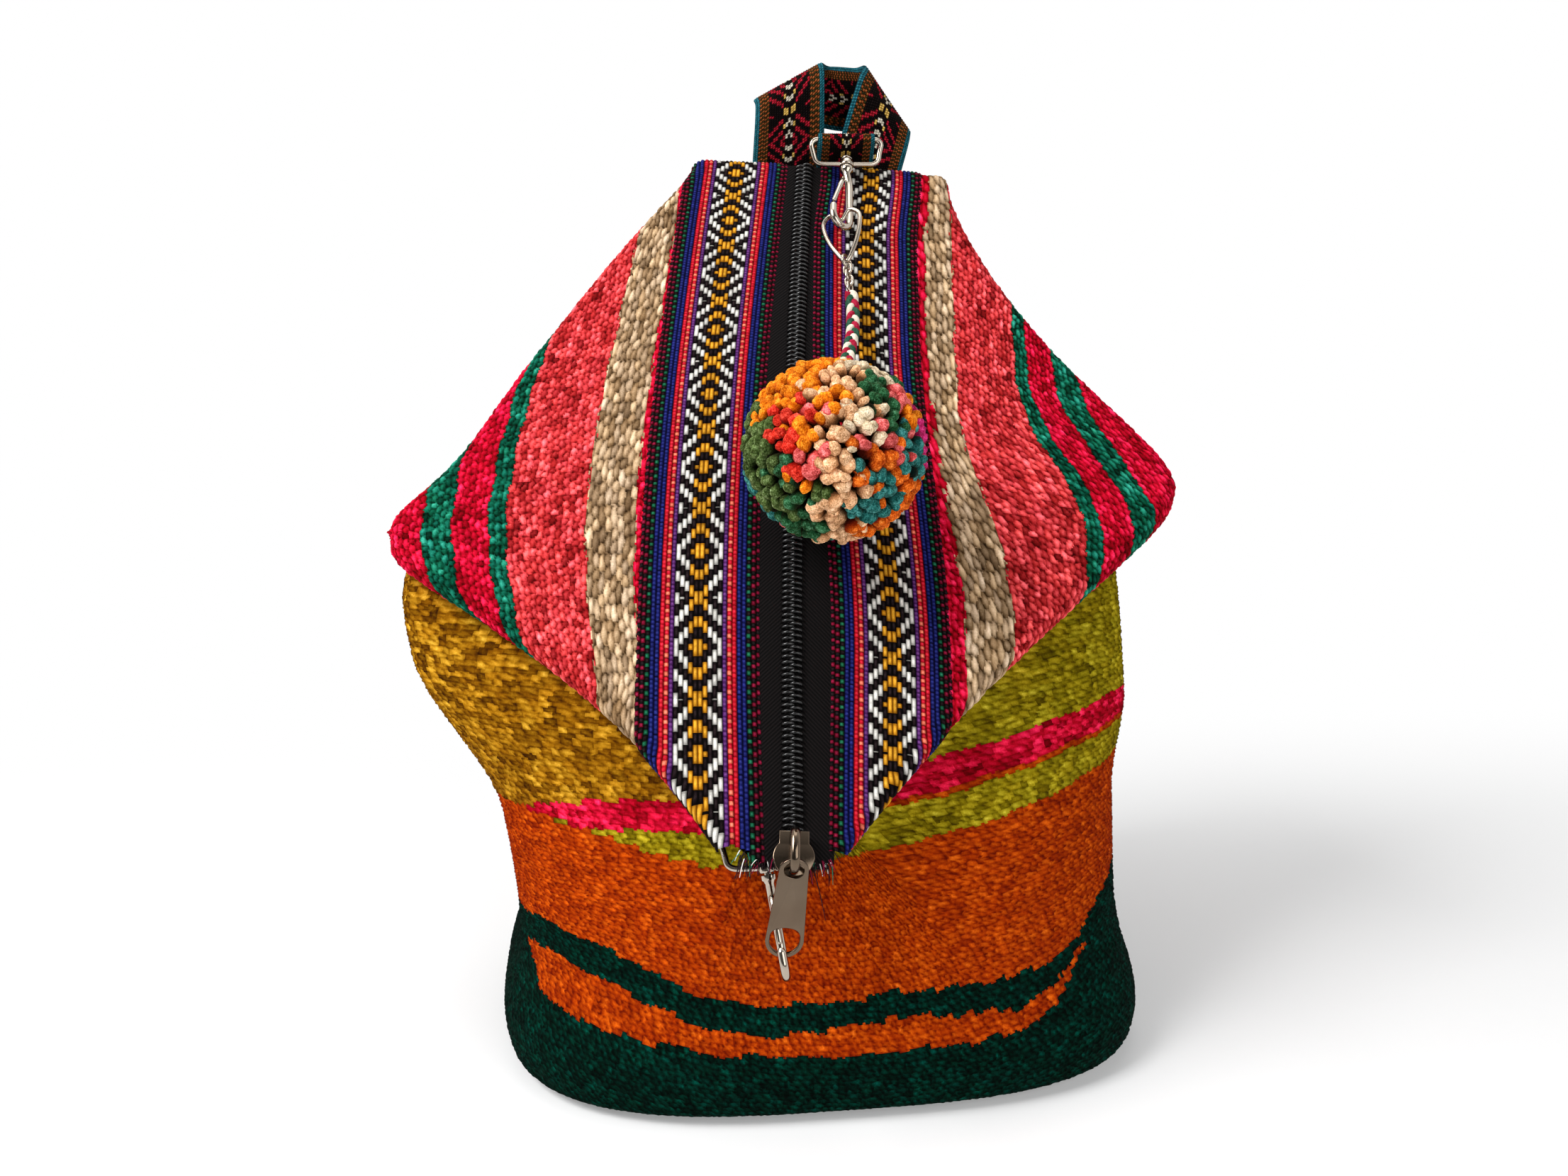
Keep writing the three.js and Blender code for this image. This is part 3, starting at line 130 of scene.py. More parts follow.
def tubes(paths, radius, sides, square, loop=False):
    """Round tubes along many paths at once. Each ring is the path's point plus the radius times the cosine
    along the direction square to the path and to `square`, and the sine along the third direction."""
    paths = np.asarray(paths, float)
    count, steps, _ = paths.shape
    if loop:
        along = np.roll(paths, -1, axis=1) - np.roll(paths, 1, axis=1)
    else:
        along = np.gradient(paths, axis=1)
    along = unit(along)
    side = unit(np.cross(along, square))
    up = np.cross(side, along)
    angle = np.linspace(0, 2 * np.pi, sides, endpoint=False)[:, None]
    radius = np.broadcast_to(radius, (count, steps))[..., None, None]
    ring = np.cos(angle) * side[:, :, None] + np.sin(angle) * up[:, :, None]
    points = (paths[:, :, None] + radius * ring).reshape(-1, 3)
    shift = np.arange(count)[:, None, None] * steps * sides
    return points, (ring_quads(steps, sides, loop)[None] + shift).reshape(-1, 4)


def piece(name, points, quads, body, finish, nodes, colour=None, crest=None, weave=None):
    """A mesh object from points in millimetres and quads, riding on a body in place of its CAD nodes.
    `colour` gives each quad its linear colour as the attribute yarn, `crest` each point its height on its
    own yarn, from 0 in the groove to 1, and `weave` each point its place in the cloth as a UV map."""
    mesh = bpy.data.meshes.new(name)
    mesh.vertices.add(len(points))
    mesh.vertices.foreach_set("co", (points * MM).astype(np.float32).ravel())
    mesh.loops.add(quads.size)
    mesh.loops.foreach_set("vertex_index", quads.astype(np.int32).ravel())
    mesh.polygons.add(len(quads))
    mesh.polygons.foreach_set("loop_start", np.arange(0, quads.size, 4, dtype=np.int32))
    mesh.polygons.foreach_set("use_smooth", np.ones(len(quads), dtype=bool))
    if colour is not None:
        full = np.concatenate([colour, np.ones((len(colour), 1))], axis=1)
        layer = mesh.color_attributes.new("yarn", "FLOAT_COLOR", "CORNER")
        layer.data.foreach_set("color", np.repeat(full, 4, axis=0).astype(np.float32).ravel())
    if crest is not None:
        layer = mesh.attributes.new("crest", "FLOAT", "POINT")
        layer.data.foreach_set("value", crest.astype(np.float32))
    if weave is not None:
        layer = mesh.uv_layers.new(name="weave")
        layer.data.foreach_set("uv", (weave[quads.ravel()] * MM).astype(np.float32).ravel())
    mesh.update(calc_edges=True)
    return ridden(mesh, body, finish, nodes)


def ridden(mesh, body, finish, nodes):
    """The object of a finished mesh, on its body and in place of its CAD nodes."""
    mesh.materials.append(finish)
    made = bpy.data.objects.new(mesh.name, mesh)
    bpy.context.scene.collection.objects.link(made)
    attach(made, body)
    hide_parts(*nodes)
    return made


class Shade:
    """One socket in a material's node tree. Sums and products on it add Math nodes."""

    def __init__(self, tree, socket=None):
        self.tree = tree
        self.socket = socket

    def node(self, kind, settings=None, inputs=None, output=0):
        """A node of any kind: its settings are set first, then the values or links of its sockets."""
        made = self.tree.nodes.new(kind)
        for name, value in (settings or {}).items():
            setattr(made, name, value)
        for name, value in (inputs or {}).items():
            self.feed(made.inputs[name], value)
        return Shade(self.tree, made.outputs[output])

    def feed(self, target, value):
        """Links a socket or sets a plain value."""
        if isinstance(value, Shade):
            self.tree.links.new(value.socket, target)
        else:
            target.default_value = value

    def math(self, operation, *values):
        """A Math node on sockets or plain values."""
        return self.node("ShaderNodeMath", {"operation": operation}, dict(enumerate(values)))

    def __add__(self, other):
        return self.math("ADD", self, other)

    def __radd__(self, other):
        return self.math("ADD", other, self)

    def __sub__(self, other):
        return self.math("SUBTRACT", self, other)

    def __rsub__(self, other):
        return self.math("SUBTRACT", other, self)

    def __mul__(self, other):
        return self.math("MULTIPLY", self, other)

    def __rmul__(self, other):
        return self.math("MULTIPLY", other, self)

    def noise(self, scale, detail):
        """Noise of a scale in the object's own place."""
        place = self.node("ShaderNodeTexCoord", output="Object")
        return self.node("ShaderNodeTexNoise", {}, {"Vector": place, "Scale": scale, "Detail": detail})

    def finish(self, values):
        """Feeds the sockets of the material's Principled shader."""
        shader = self.tree.nodes["Principled BSDF"]
        for name, value in values.items():
            self.feed(shader.inputs[name], value)


def new_finish(name):
    """A new material, and the empty start of its node sums."""
    material = bpy.data.materials.new(name)
    material.use_nodes = True
    return material, Shade(material.node_tree)


def yarn_finish(name, fibre, depth, fuzz=0.0, groove=1.0, mottle=0.5):
    """Spun yarn: the attribute's colour with painted shade, darker and fuller down in the grooves
    where the yarn has a crest, to a share `groove` at the bottom, and mottling by two sizes of noise,
    `fibre` and four times that wide, with fine hairs as bump of `depth`, a rough surface and a sheen."""
    material, start = new_finish(name)
    dyed = start.node("ShaderNodeAttribute", {"attribute_name": "yarn"}, output="Color")
    crest = start.node("ShaderNodeAttribute", {"attribute_name": "crest"}, output="Fac")
    broad = start.noise(0.25 / fibre, 2)
    hairs = start.noise(1 / fibre, 3)
    # Painted shade: the crest darkens the colour to a share `groove` down in the grooves, and the gamma
    # below makes it fuller there.
    light = (1 + mottle * (hairs + broad - 1)) * (groove + (1 - groove) * crest)
    deep = start.node("ShaderNodeGamma", {}, {"Color": dyed, "Gamma": 1.4 - 0.6 * light})
    mottled_with_painted_shade = start.node("ShaderNodeVectorMath", {"operation": "SCALE"}, {0: deep, "Scale": light})
    raised = start.node("ShaderNodeBump", {}, {"Height": hairs, "Strength": 0.6, "Distance": depth})
    start.finish({
        "Base Color": mottled_with_painted_shade, "Roughness": 0.95, "Specular IOR Level": 0.05, "Normal": raised,
        "Sheen Weight": fuzz, "Sheen Roughness": 0.5, "Sheen Tint": SHEEN_TINT,
    })
    return material


def charm_cord():
    """Three strands plaited flat: each swings across the route as a sine, and over and under the others as
    a sine of half the pitch, a third of the pitch apart."""
    route = through(np.array(CORD_ROUTE) / MM, CORD_STEPS)
    along = unit(np.gradient(route, axis=0))
    side = unit(np.cross(along, X_AXIS))
    up = np.cross(side, along)
    wide, thick = np.array(PLAIT_SHARE) * CORD_DIAMETER / 2
    turn = 2 * np.pi * (run_along(route) / PLAIT_PITCH + np.arange(3)[:, None] / 3)[..., None]
    paths = route + wide * np.sin(turn) * up + thick * np.sin(2 * turn) * side
    points, quads = tubes(paths, CORD_DIAMETER / 2 - wide, CORD_SIDES, X_AXIS)
    colour = np.repeat(linear(STRAND_COLOURS), len(quads) // 3, axis=0)
    made = piece(
        "charm_cord_plies", points, quads, "charm", cord_wool, ["charm_cord"], colour,
    )
    return made, route


cord_wool = yarn_finish("twisted_yarn_wool", 0.0008, 0.0004)
cord, cord_line = charm_cord()

# Floor and light
# A pale paper sweep that rises behind the bag, and soft lamps: a broad one from the left, a fill from the
# right and an even sky. The camera sees the sweep and the sky as white.
SWEEP_FRONT, SWEEP_BACK, SWEEP_HALF = -1500.0, 1500.0, 3500.0
SWEEP_RADIUS, SWEEP_RISE = 900.0, 2500.0
PAPER_GLOW = 0.25
SHADOW_SHIFT, SHADOW_STRETCH, SHADOW_REACH = (-0.16, 0.1, 0.0), (1.0, 3.0, 1.0), (0.25, 1.2)
LAMPS = {
    "key": ((-1.1, -0.45, 1.35), 0.8, 32.0),
    "fill": ((0.7, -1.3, 0.8), 1.2, 11.0),
    "top": ((0.0, 0.2, 1.6), 1.0, 6.0),
}
LAMP_AIM = (0.0, 0.0, 0.15)
SKY_LIGHT = 0.16


def sweep():
    """A flat floor, a quarter circle and an upright wall: one profile carried across."""
    turn = np.linspace(0, np.pi / 2, 24)
    bent = np.stack([SWEEP_BACK + SWEEP_RADIUS * np.sin(turn), SWEEP_RADIUS * (1 - np.cos(turn))], axis=-1)
    profile = np.concatenate([[[SWEEP_FRONT, 0]], bent, [[SWEEP_BACK + SWEEP_RADIUS, SWEEP_RISE]]])
    across = np.linspace(-SWEEP_HALF, SWEEP_HALF, 3)
    points = np.stack(np.broadcast_arrays(across, profile[:, :1], profile[:, 1:]), axis=-1)
    return points.reshape(-1, 3) * MM, grid_quads(len(profile), 3)[:, ::-1]


def rays(start):
    """Whether the camera sees the place, and whether a mirror does."""
    return [start.node("ShaderNodeLightPath", output=kind) for kind in ("Is Camera Ray", "Is Glossy Ray")]


def paper_finish():
    """White paper that keeps the bag's shadow near it, lifted to white further off where the camera or a
    mirror sees it."""
    material, start = new_finish("white_paper")
    seen, mirrored = rays(start)
    start.finish({"Base Color": (0.9, 0.9, 0.9, 1), "Roughness": 0.88 + 0.1 * start.noise(300.0, 2)})
    glow = start.node("ShaderNodeEmission", {}, {"Color": (1, 1, 1, 1), "Strength": 1.0})
    beside = start.node("ShaderNodeVectorMath", {"operation": "MULTIPLY_ADD"}, {
        0: start.node("ShaderNodeTexCoord", output="Object"), 1: SHADOW_STRETCH, 2: SHADOW_SHIFT,
    })
    far = start.node("ShaderNodeVectorMath", {"operation": "LENGTH"}, {0: beside}, output="Value")
    away = start.node("ShaderNodeMapRange", {"interpolation_type": "SMOOTHSTEP"}, {
        "Value": far, "From Min": SHADOW_REACH[0], "From Max": SHADOW_REACH[1], "To Min": PAPER_GLOW,
    })
    paper = Shade(start.tree, start.tree.nodes["Principled BSDF"].outputs[0])
    both = start.node("ShaderNodeMixShader", {}, {0: away * (seen + mirrored), 1: paper, 2: glow})
    start.feed(start.tree.nodes["Material Output"].inputs["Surface"], both)
    return material


def light_sky(sky):
    """An even sky for light, white where the camera sees it, and in a mirror darker towards the front."""
    start = Shade(sky.node_tree)
    seen, mirrored = rays(start)
    heading = start.node("ShaderNodeTexCoord", output="Generated")
    front = start.node("ShaderNodeSeparateXYZ", {}, {0: heading}, output="Y")
    dim = start.math("SMOOTH_MIN", 1.0, start.math("MAXIMUM", front * 1.6 + 1.0, 0.1), 0.1)
    strength = SKY_LIGHT + (1 - SKY_LIGHT) * seen + (dim - SKY_LIGHT) * mirrored
    background = sky.node_tree.nodes["Background"]
    start.feed(background.inputs["Strength"], strength)
    background.inputs["Color"].default_value = (1, 1, 1, 1)


floor_points, floor_quads = sweep()
floor_mesh = bpy.data.meshes.new("paper_sweep")
floor_mesh.from_pydata(floor_points.tolist(), [], floor_quads.tolist())
floor_mesh.materials.append(paper_finish())
floor = bpy.data.objects.new("paper_sweep", floor_mesh)
bpy.context.scene.collection.objects.link(floor)
for lamp_name, (lamp_place, lamp_size, lamp_power) in LAMPS.items():
    lamp_data = bpy.data.lights.new(lamp_name, "AREA")
    lamp_data.size = lamp_size
    lamp_data.energy = lamp_power
    lamp = bpy.data.objects.new(lamp_name, lamp_data)
    lamp.location = lamp_place
    aim = np.array(LAMP_AIM) - np.array(lamp_place)
    lamp_turn = math.atan2(aim[0], -aim[1]) + math.pi
    lamp.rotation_euler = (math.acos(-aim[2] / np.linalg.norm(aim)), 0, lamp_turn)
    bpy.context.scene.collection.objects.link(lamp)
bpy.context.scene.world = bpy.data.worlds.new("soft_sky")
bpy.context.scene.world.use_nodes = True
light_sky(bpy.context.scene.world)

# Flap cloth
# The top of the wool tube, folded into a diamond that slopes from its tip in front to the top edge. The
# weft runs up the flap in nubs of thick spun wool, so its stripes follow the zip, and the edges fold under.
HANDS = ((-1, "left"), (1, "right"))
FLAP_TIP = np.array([-16, -98.5, 99])
FLAP_TOP = np.array([4, 90, 325.5])
FLAP_LENGTH = np.linalg.norm(FLAP_TOP - FLAP_TIP)
ALONG = (FLAP_TOP - FLAP_TIP) / FLAP_LENGTH
OFF = unit(np.cross(X_AXIS, ALONG))
ACROSS = np.cross(ALONG, OFF)
EAR = {
    -1: {
        "tip": 18.0, "dip": 14.5, "reach": 146.5, "at": 126.0,
        "top": 41.0, "tuck": 3.0, "sag": 10.5, "bias": 3.8,
    },
    1: {
        "tip": 11.0, "dip": 6.3, "reach": 141.5, "at": 163.0,
        "top": 55.0, "tuck": 22.5, "sag": 16.0, "bias": 0.83,
    },
}
EAR_ROUNDING = 9.0
LIP_TIP, LIP_EAR, LIP_TOP = 2.5, 8.0, 5.0
FLAP_ARCH, FLAP_DROOP = 6.0, 24.0
CREST_WIDTH, DROOP_REACH = 40.0, 110.0
FLAT_FROM, FLAT_SHARE = 0.7, 0.9
FLAP_NUB, NUB_HEIGHT = (3.3, 2.3), 0.85
LONG_NUBS = (59.5, 78.0, 0.5)
NUB_BULGE, NUB_WANDER, NUB_LEAN = 0.12, (0.2, 0.11), 0.35
WOVEN_SPAN, FLAP_WOOL_START, FLAP_TURN_IN = (38, 210), 36.0, 12.0
THREAD = 1.67
BAND_COLUMNS = 13
BAND_LEFT, BAND_RIGHT = (29.5, 6.5, 15.0), (33.0, 8.5, 2.5)
BAND_CLOSES, BAND_OPENS = (70, 210), 260
DRAW_MIDDLE, LOW_DRAW, HIGH_DRAW = 135.0, (13.0, 75.0), (9.0, 100.0)
NEAR_DRAW, FAR_DRAW = (18.0, 90.0, 185.0), (29.0, 135.0, 205.0)
LEFT_PULL, RIGHT_PULL = (120, 80), (60, 110)
CRIMSON_EDGE = (2.8, 2, 160, 110)
WOOL = {
    "crimson": (222, 12, 48), "beige": (196, 162, 124), "coral": (240, 66, 70), "teal": (14, 106, 80),
    "mustard": (168, 111, 12), "olive": (158, 138, 14), "orange": (190, 62, 2), "green": (0, 35, 25),
}
UNEVEN = {"orange": 0.45, "olive": 0.7, "green": 0.45}
FLAP_STRIPES = [
    (59.5, "crimson"), (78.0, "beige"), (109.0, "coral"), (116.0, "teal"), (129.0, "crimson"),
    (141.0, "teal"), (175.0, "crimson"), (400.0, "mustard"),
]


def smooth(x, low, high):
    """An S-shaped step, 3 t squared less 2 t cubed, from 0 at low to 1 at high."""
    t = np.clip((x - low) / (high - low), 0, 1)
    return t * t * (3 - 2 * t)


def flap(s, c, h=0.0):
    """Flap point s up the zip, c across it and h off it: a roof that droops to both sides as a hyperbola,
    flatter near the top edge, on an arch of a squared sine."""
    roof = (np.hypot(c, CREST_WIDTH) - CREST_WIDTH) / DROOP_REACH
    stretched = 1 - FLAT_SHARE * smooth(s, FLAT_FROM * FLAP_LENGTH, FLAP_LENGTH)
    rise = FLAP_ARCH * np.sin(np.pi * s / FLAP_LENGTH) ** 2 - FLAP_DROOP * roof * stretched + h
    s, c, rise = (np.asarray(x, float)[..., None] for x in np.broadcast_arrays(s, c, rise))
    return FLAP_TIP + ALONG * s + ACROSS * c + OFF * rise


def crease_dip(s, side):
    """How far the crease bows in between the tip and the ear: half a sine wave."""
    return EAR[side]["dip"] * np.sin(np.pi * np.clip(s / EAR[side]["at"], 0, 1))


def flap_half(s, side):
    """Distance from the flap's middle to the crease: a dipping rise from the tip and a sagging fall to the
    top that meet at the ear in a soft minimum."""
    ear = EAR[side]
    peak = ear["reach"] + EAR_ROUNDING * math.log(2)
    fallen = (FLAP_LENGTH - s) / (FLAP_LENGTH - ear["at"])
    rise = ear["tip"] + (peak - ear["tip"]) * s / ear["at"] - crease_dip(s, side)
    sag = ear["sag"] * np.sin(np.pi * np.clip(fallen, 0, 1) ** ear["bias"])
    fall = ear["top"] + (peak - ear["top"]) * fallen - sag
    return -EAR_ROUNDING * np.log(np.exp(-rise / EAR_ROUNDING) + np.exp(-fall / EAR_ROUNDING))


def lip_radius(s):
    """Radius of the folded edge: thin at the tip, full at the ears, less at the top."""
    ear = (EAR[-1]["at"] + EAR[1]["at"]) / 2
    before = LIP_TIP + (LIP_EAR - LIP_TIP) * smooth(s, 0, ear)
    return before + (LIP_TOP - before) * smooth(s, ear, FLAP_LENGTH)


def folded(s, w, side, h=0.0):
    """Cloth point s along the zip and w away from it: on the flap as far as the crease, then round the lip
    square to the crease and back underneath, and over the top edge or the tip where s runs past them.
    Also gives how far the point is past the crease."""
    inside = np.clip(s, 0, FLAP_LENGTH)
    lean = np.arctan((flap_half(inside + 1, side) - flap_half(inside - 1, side)) / 2)
    past = np.maximum(w - flap_half(inside, side), 0) * np.cos(lean)
    foot = np.clip(inside + past * np.sin(lean), 0, FLAP_LENGTH)
    c = np.where(past > 0, flap_half(foot, side), w)
    radius = lip_radius(foot)
    turn = np.minimum(past / radius, np.pi)
    inward = np.maximum(past - np.pi * radius, 0)
    out = side * np.cos(lean)[..., None] * ACROSS - np.sin(lean)[..., None] * ALONG
    end_radius = np.where(s > 0, LIP_TOP, LIP_TIP)
    beyond = np.maximum(s - FLAP_LENGTH, -s).clip(0)
    over = np.where(s > 0, 1, -1) * np.minimum(beyond / end_radius, np.pi)
    under = np.maximum(np.abs(s - inside) - np.pi * end_radius, 0)
    reach = (radius + h) * np.sin(turn) - inward
    drop = (radius + h) * (np.cos(turn) - 1) + (end_radius + h) * (np.cos(over) - 1)
    forward = (end_radius + h) * np.sin(over) - np.sign(over) * under
    place = flap(foot, side * c, h + drop) + out * reach[..., None] + ALONG * forward[..., None]
    return place, past


def chance(a, b, seed=0.0):
    """A fixed number from 0 to 1 for each pair: the fraction of a large sine."""
    return np.modf(np.abs(np.sin(a * 12.9898 + b * 78.233 + seed * 37.719) * 43758.5453))[0]


def nub(along, across, size):
    """Which nub of the weft a place is in, counted by row and place, each row half a nub on from the last,
    and where in it, from -0.5 to 0.5 both ways. Rows wander by slow sine waves and bulge into each other's
    gaps by a double cosine, and each row has its own start and its own long and short nubs."""
    x = along / size[0]
    y = across / size[1]
    y = y + NUB_WANDER[0] * np.sin(0.8 * x + 0.21 * y) + NUB_WANDER[1] * np.sin(2.3 * x - 0.5 * y)
    y = y - NUB_BULGE * np.cos(2 * np.pi * x) * np.cos(np.pi * y)
    row = np.floor(y)
    shifted = x + 0.5 * np.mod(row, 2) + 0.4 * (chance(row, 0, 6.0) - 0.5)
    shifted = shifted + 0.2 * np.sin(1.9 * x + 6.3 * chance(row, 0, 7.0))
    place = np.floor(shifted)
    return row, place, shifted - place - 0.5, y - row - 0.5


def pillow(along, across, size):
    """Height of the nubs: the root of two half waves' product, leaning like twisted yarn, each with its own
    fullness."""
    row, place, x, y = nub(along, across, size)
    lean = np.clip(x + NUB_LEAN * y, -0.5, 0.5)
    full = 0.7 + 0.5 * chance(row, place)
    round_top = np.cos(np.pi * lean) * np.cos(np.pi * np.clip(y, -0.5, 0.5))
    return full * np.sqrt(np.maximum(round_top, 0))


def normals(points):
    """Unit normals of a grid of points, from the cross product of its two gradients."""
    return unit(np.cross(np.gradient(points, axis=1), np.gradient(points, axis=0)) + 1e-12)


def middles(*grids):
    """The value in the middle of each quad, for each of some grids of one shape."""
    quads = grid_quads(*grids[0].shape)
    return [grid.ravel()[quads].mean(axis=1) for grid in grids]


def sheet(name, place, weave, side, finish, node, keep=None, colour=None, crest=None):
    """A piece of cloth from a grid of points, of only the quads to keep and the points that they use.
    `weave` is its grids of places along and across the cloth, and `side` turns its faces out."""
    quads = grid_quads(*place.shape[:2])
    if keep is not None:
        quads = quads[keep]
        colour = colour[keep]
    used, back = np.unique(quads, return_inverse=True)
    faces = back.reshape(-1, 4)[:, ::-side]
    weave = np.stack([way.ravel()[used] for way in weave], axis=-1)
    crest = None if crest is None else crest.ravel()[used]
    points = place.reshape(-1, 3)[used]
    return piece(name, points, faces, "bag", finish, [node], colour, crest, weave)


def numbered(palette):
    """The number of each dye in a palette by its name."""
    return {name: number for number, name in enumerate(palette)}


def dyed(dye, row, place, spread=0.45):
    """Linear colour of each nub: its stripe's dye, lighter or darker by its own chance, a few of them much.
    A dark nub's dye is fuller, by a higher power."""
    base = linear(list(WOOL.values()))[dye]
    light = 1 + spread * (2 * chance(row, place, 1.0) - 1)
    light = light * np.where(chance(row, place, 2.0) > 0.8, 0.58, 1.0)
    warm = 1 + 0.12 * (chance(row, place, 3.0)[..., None] - 0.5) * np.array([1, 0.4, -1])
    light = 1 + (light - 1) * np.array([UNEVEN.get(name, 1.0) for name in WOOL])[dye]
    return base ** (1.4 - 0.4 * light[..., None]) * light[..., None] * warm


def stripe_of(distance, stripes):
    """Number of the dye of the stripe that holds each distance."""
    edges = np.array([edge for edge, _ in stripes])
    dyes = np.array([numbered(WOOL)[name] for _, name in stripes])
    return dyes[np.minimum(np.searchsorted(edges, distance), len(edges) - 1)]


def band_middle(s, side):
    """Distance of a woven band's middle from the flap's middle line: the left one bows out half way up, the
    right one closes in on the zip towards the top."""
    if side < 0:
        middle, bow, before = BAND_LEFT
        length = FLAP_LENGTH + before
        return middle + bow * np.sin(np.pi * np.clip(s + before, 0, length) / length)
    middle, closing, opening = BAND_RIGHT
    return middle - closing * smooth(s, *BAND_CLOSES) + opening * smooth(s, BAND_OPENS, FLAP_LENGTH)


def laid(s, woven, side):
    """Distance from the zip, on the folded flap, of cloth that was woven at a distance. Drawn over the
    roof, the stripes close in on the left towards both ends and on the right towards the top. The shift
    depends on where the cloth ends up, so it is found in a few rounds."""
    w = woven + 0 * s
    low = LOW_DRAW[0] * np.clip((DRAW_MIDDLE - s) / LOW_DRAW[1], 0, 1) ** 2
    high = HIGH_DRAW[0] * np.clip((s - DRAW_MIDDLE) / HIGH_DRAW[1], 0, 1.3) ** 2
    near, far = (most * smooth(s, start, end) for most, start, end in (NEAR_DRAW, FAR_DRAW))
    for _ in range(12):
        if side < 0:
            w = woven - (low + high) * (np.clip(w, 0, LEFT_PULL[0]) / LEFT_PULL[1]) ** 2
        else:
            w = woven - near - (far - near) * smooth(w, *RIGHT_PULL)
    return w


def flap_cloth(side, hand):
    """The wool beside the woven band: a grid of quarter nubs both ways, cut past the fold. The undyed
    stripe is of smoother yarn, in nubs twice as long, and a crimson edge follows the right band."""
    up_zip = np.arange(0, FLAP_LENGTH + 14, FLAP_NUB[0] / 4)
    s, woven = np.meshgrid(up_zip, np.arange(*WOVEN_SPAN, FLAP_NUB[1] / 4), indexing="ij")
    low, high, share = LONG_NUBS
    drawn = s * np.where((woven > low) & (woven < high), share, 1.0)
    w = laid(s, woven, side)
    place, past = folded(s, w, side)
    crest = pillow(drawn, woven, FLAP_NUB)
    place = place + side * normals(place) * (NUB_HEIGHT * crest)[..., None]
    mid_s, mid_woven, mid_w, mid_past, mid_drawn = middles(s, woven, w, past, drawn)
    row, number, _, y = nub(mid_drawn, mid_woven, FLAP_NUB)
    dye = stripe_of((row + 0.5) * FLAP_NUB[1], FLAP_STRIPES)
    beside = mid_w - y * FLAP_NUB[1] - band_middle(mid_s, side) - BAND_COLUMNS * THREAD
    edge = CRIMSON_EDGE[0] + CRIMSON_EDGE[1] * smooth(mid_s, *CRIMSON_EDGE[2:])
    dye = np.where((side > 0) & (beside < edge), numbered(WOOL)["crimson"], dye)
    keep = (mid_past < np.pi * lip_radius(mid_s) + FLAP_TURN_IN) & (mid_w > FLAP_WOOL_START)
    sheet(
        "flap_cloth_" + hand, place, (s, woven), side, wool, "bag_shell",
        keep, dyed(dye, row, number), crest,
    )


wool = yarn_finish("striped_wool_cloth", 0.0007, 0.0005, groove=0.12)
for flap_side, flap_hand in HANDS:
    flap_cloth(flap_side, flap_hand)

# Body cloth
# The filled wool tube under the flap: a lofted shell on a rounded base, its hem bulging at the bottom and
# its left side sagging in a fold. The weft runs round it in level stripes.
BASE_WIDTH, BASE_DEPTH, SQUARENESS = 242.0, 190.0, 3.1
BASE_TURN = math.radians(3)
SHELL_BOTTOM, EDGE_RADIUS, HEM_TURN_IN = 2.8, 3.0, 14.0
HEM_BULGE, HEM_HEIGHT, HEM_SPAN = 8.6, 15.0, 23.0
WAIST, SAG_FOLD = 7.3, 92.0
LEFT_SAG, RIGHT_SAG = (20.0, 53.0, 14.0), (6.5, 36.0, 16.0)
TIP_TUCK, TIP_TUCK_SIDE, TOP_BLEND = 26.0, 35.0, 2.2
FRONT_SPREAD, EAR_ANGLE, BACK_SPREAD = 16.0, -8.0, 28.0
WALL_NUB = (2.9, 1.9)
LOWEST_LEVEL = -52
BASE_LIFT, UPPER_LIFT, LIFT_FADES = (25, 6), (17, 2), (40, 100)
WALL_PIECES = [
    ("front_left", -180, -92, 3), ("front_right", -92, -8, 3), ("right", -8, 84, 2), ("left", 84, 180, 2),
]
WALL_STRIPES = [
    (92.0, "orange"), (102.0, "olive"), (104.5, "orange"), (113.5, "crimson"), (400.0, "mustard"),
]
HEM_TURN = [-1.0, -0.78, -0.68, -0.52, -0.37, -0.05, 0.1, 0.33, 0.6, 0.8, 0.87, 0.93]
HEM_EDGES = [
    [29.0, 29.0, 26.5, 19.2, 18.3, 24.8, 24.2, 22.7, 19.2, 16.3, 18.5, 30.0],
    [29.0, 29.0, 28.3, 24.6, 25.6, 35.6, 30.4, 30.9, 34.2, 34.2, 32.5, 30.0],
    [46.0, 38.2, 32.5, 32.6, 35.5, 43.5, 40.0, 40.2, 47.4, 46.8, 48.5, 43.0],
]
LEFT_FOLD = [-215, -190, -150, -132, -110, -90]
LEFT_TOPS = [
    [92, 100, 100, 96, 88, 92], [102, 100, 100, 97, 99.5, 102], [113.5, 100, 100, 106, 110.5, 113.5],
]
FOLD_LEVELS = (80, 125)
BACK_ANGLES, BACK_TOPS = [0, 62, 118, 180], [130, 54, 54, 130]
BACK_REACH, BACK_FROM = 156, 122


def tucked_half(s, side):
    """Distance from the flap's middle to where the wall meets its underside."""
    at, tuck = EAR[side]["at"], EAR[side]["tuck"]
    before = TIP_TUCK_SIDE + (tuck - TIP_TUCK_SIDE) * np.minimum((s - TIP_TUCK) / (at - TIP_TUCK), 1)
    return flap_half(s, side) + crease_dip(s, side) - before * (1 - smooth(s, at, FLAP_LENGTH))


def edge_over(angle):
    """Place s along and share t across of the flap's edge over a base angle from -180 to 180 degrees."""
    left = np.abs(angle) > 90
    right_angle = np.where(left, np.sign(angle) * 180 - angle, angle)
    stations = [FRONT_SPREAD - 90, EAR_ANGLE, 90 - BACK_SPREAD]
    s = [np.interp(right_angle, stations, [0, EAR[side]["at"], FLAP_LENGTH]) for side in (-1, 1)]
    t = np.ones_like(angle)
    t = np.where(right_angle < FRONT_SPREAD - 90, (right_angle + 90) / FRONT_SPREAD, t)
    t = np.where(right_angle > 90 - BACK_SPREAD, (90 - right_angle) / BACK_SPREAD, t)
    return np.where(left, s[0], s[1]), np.where(left, -t, t)


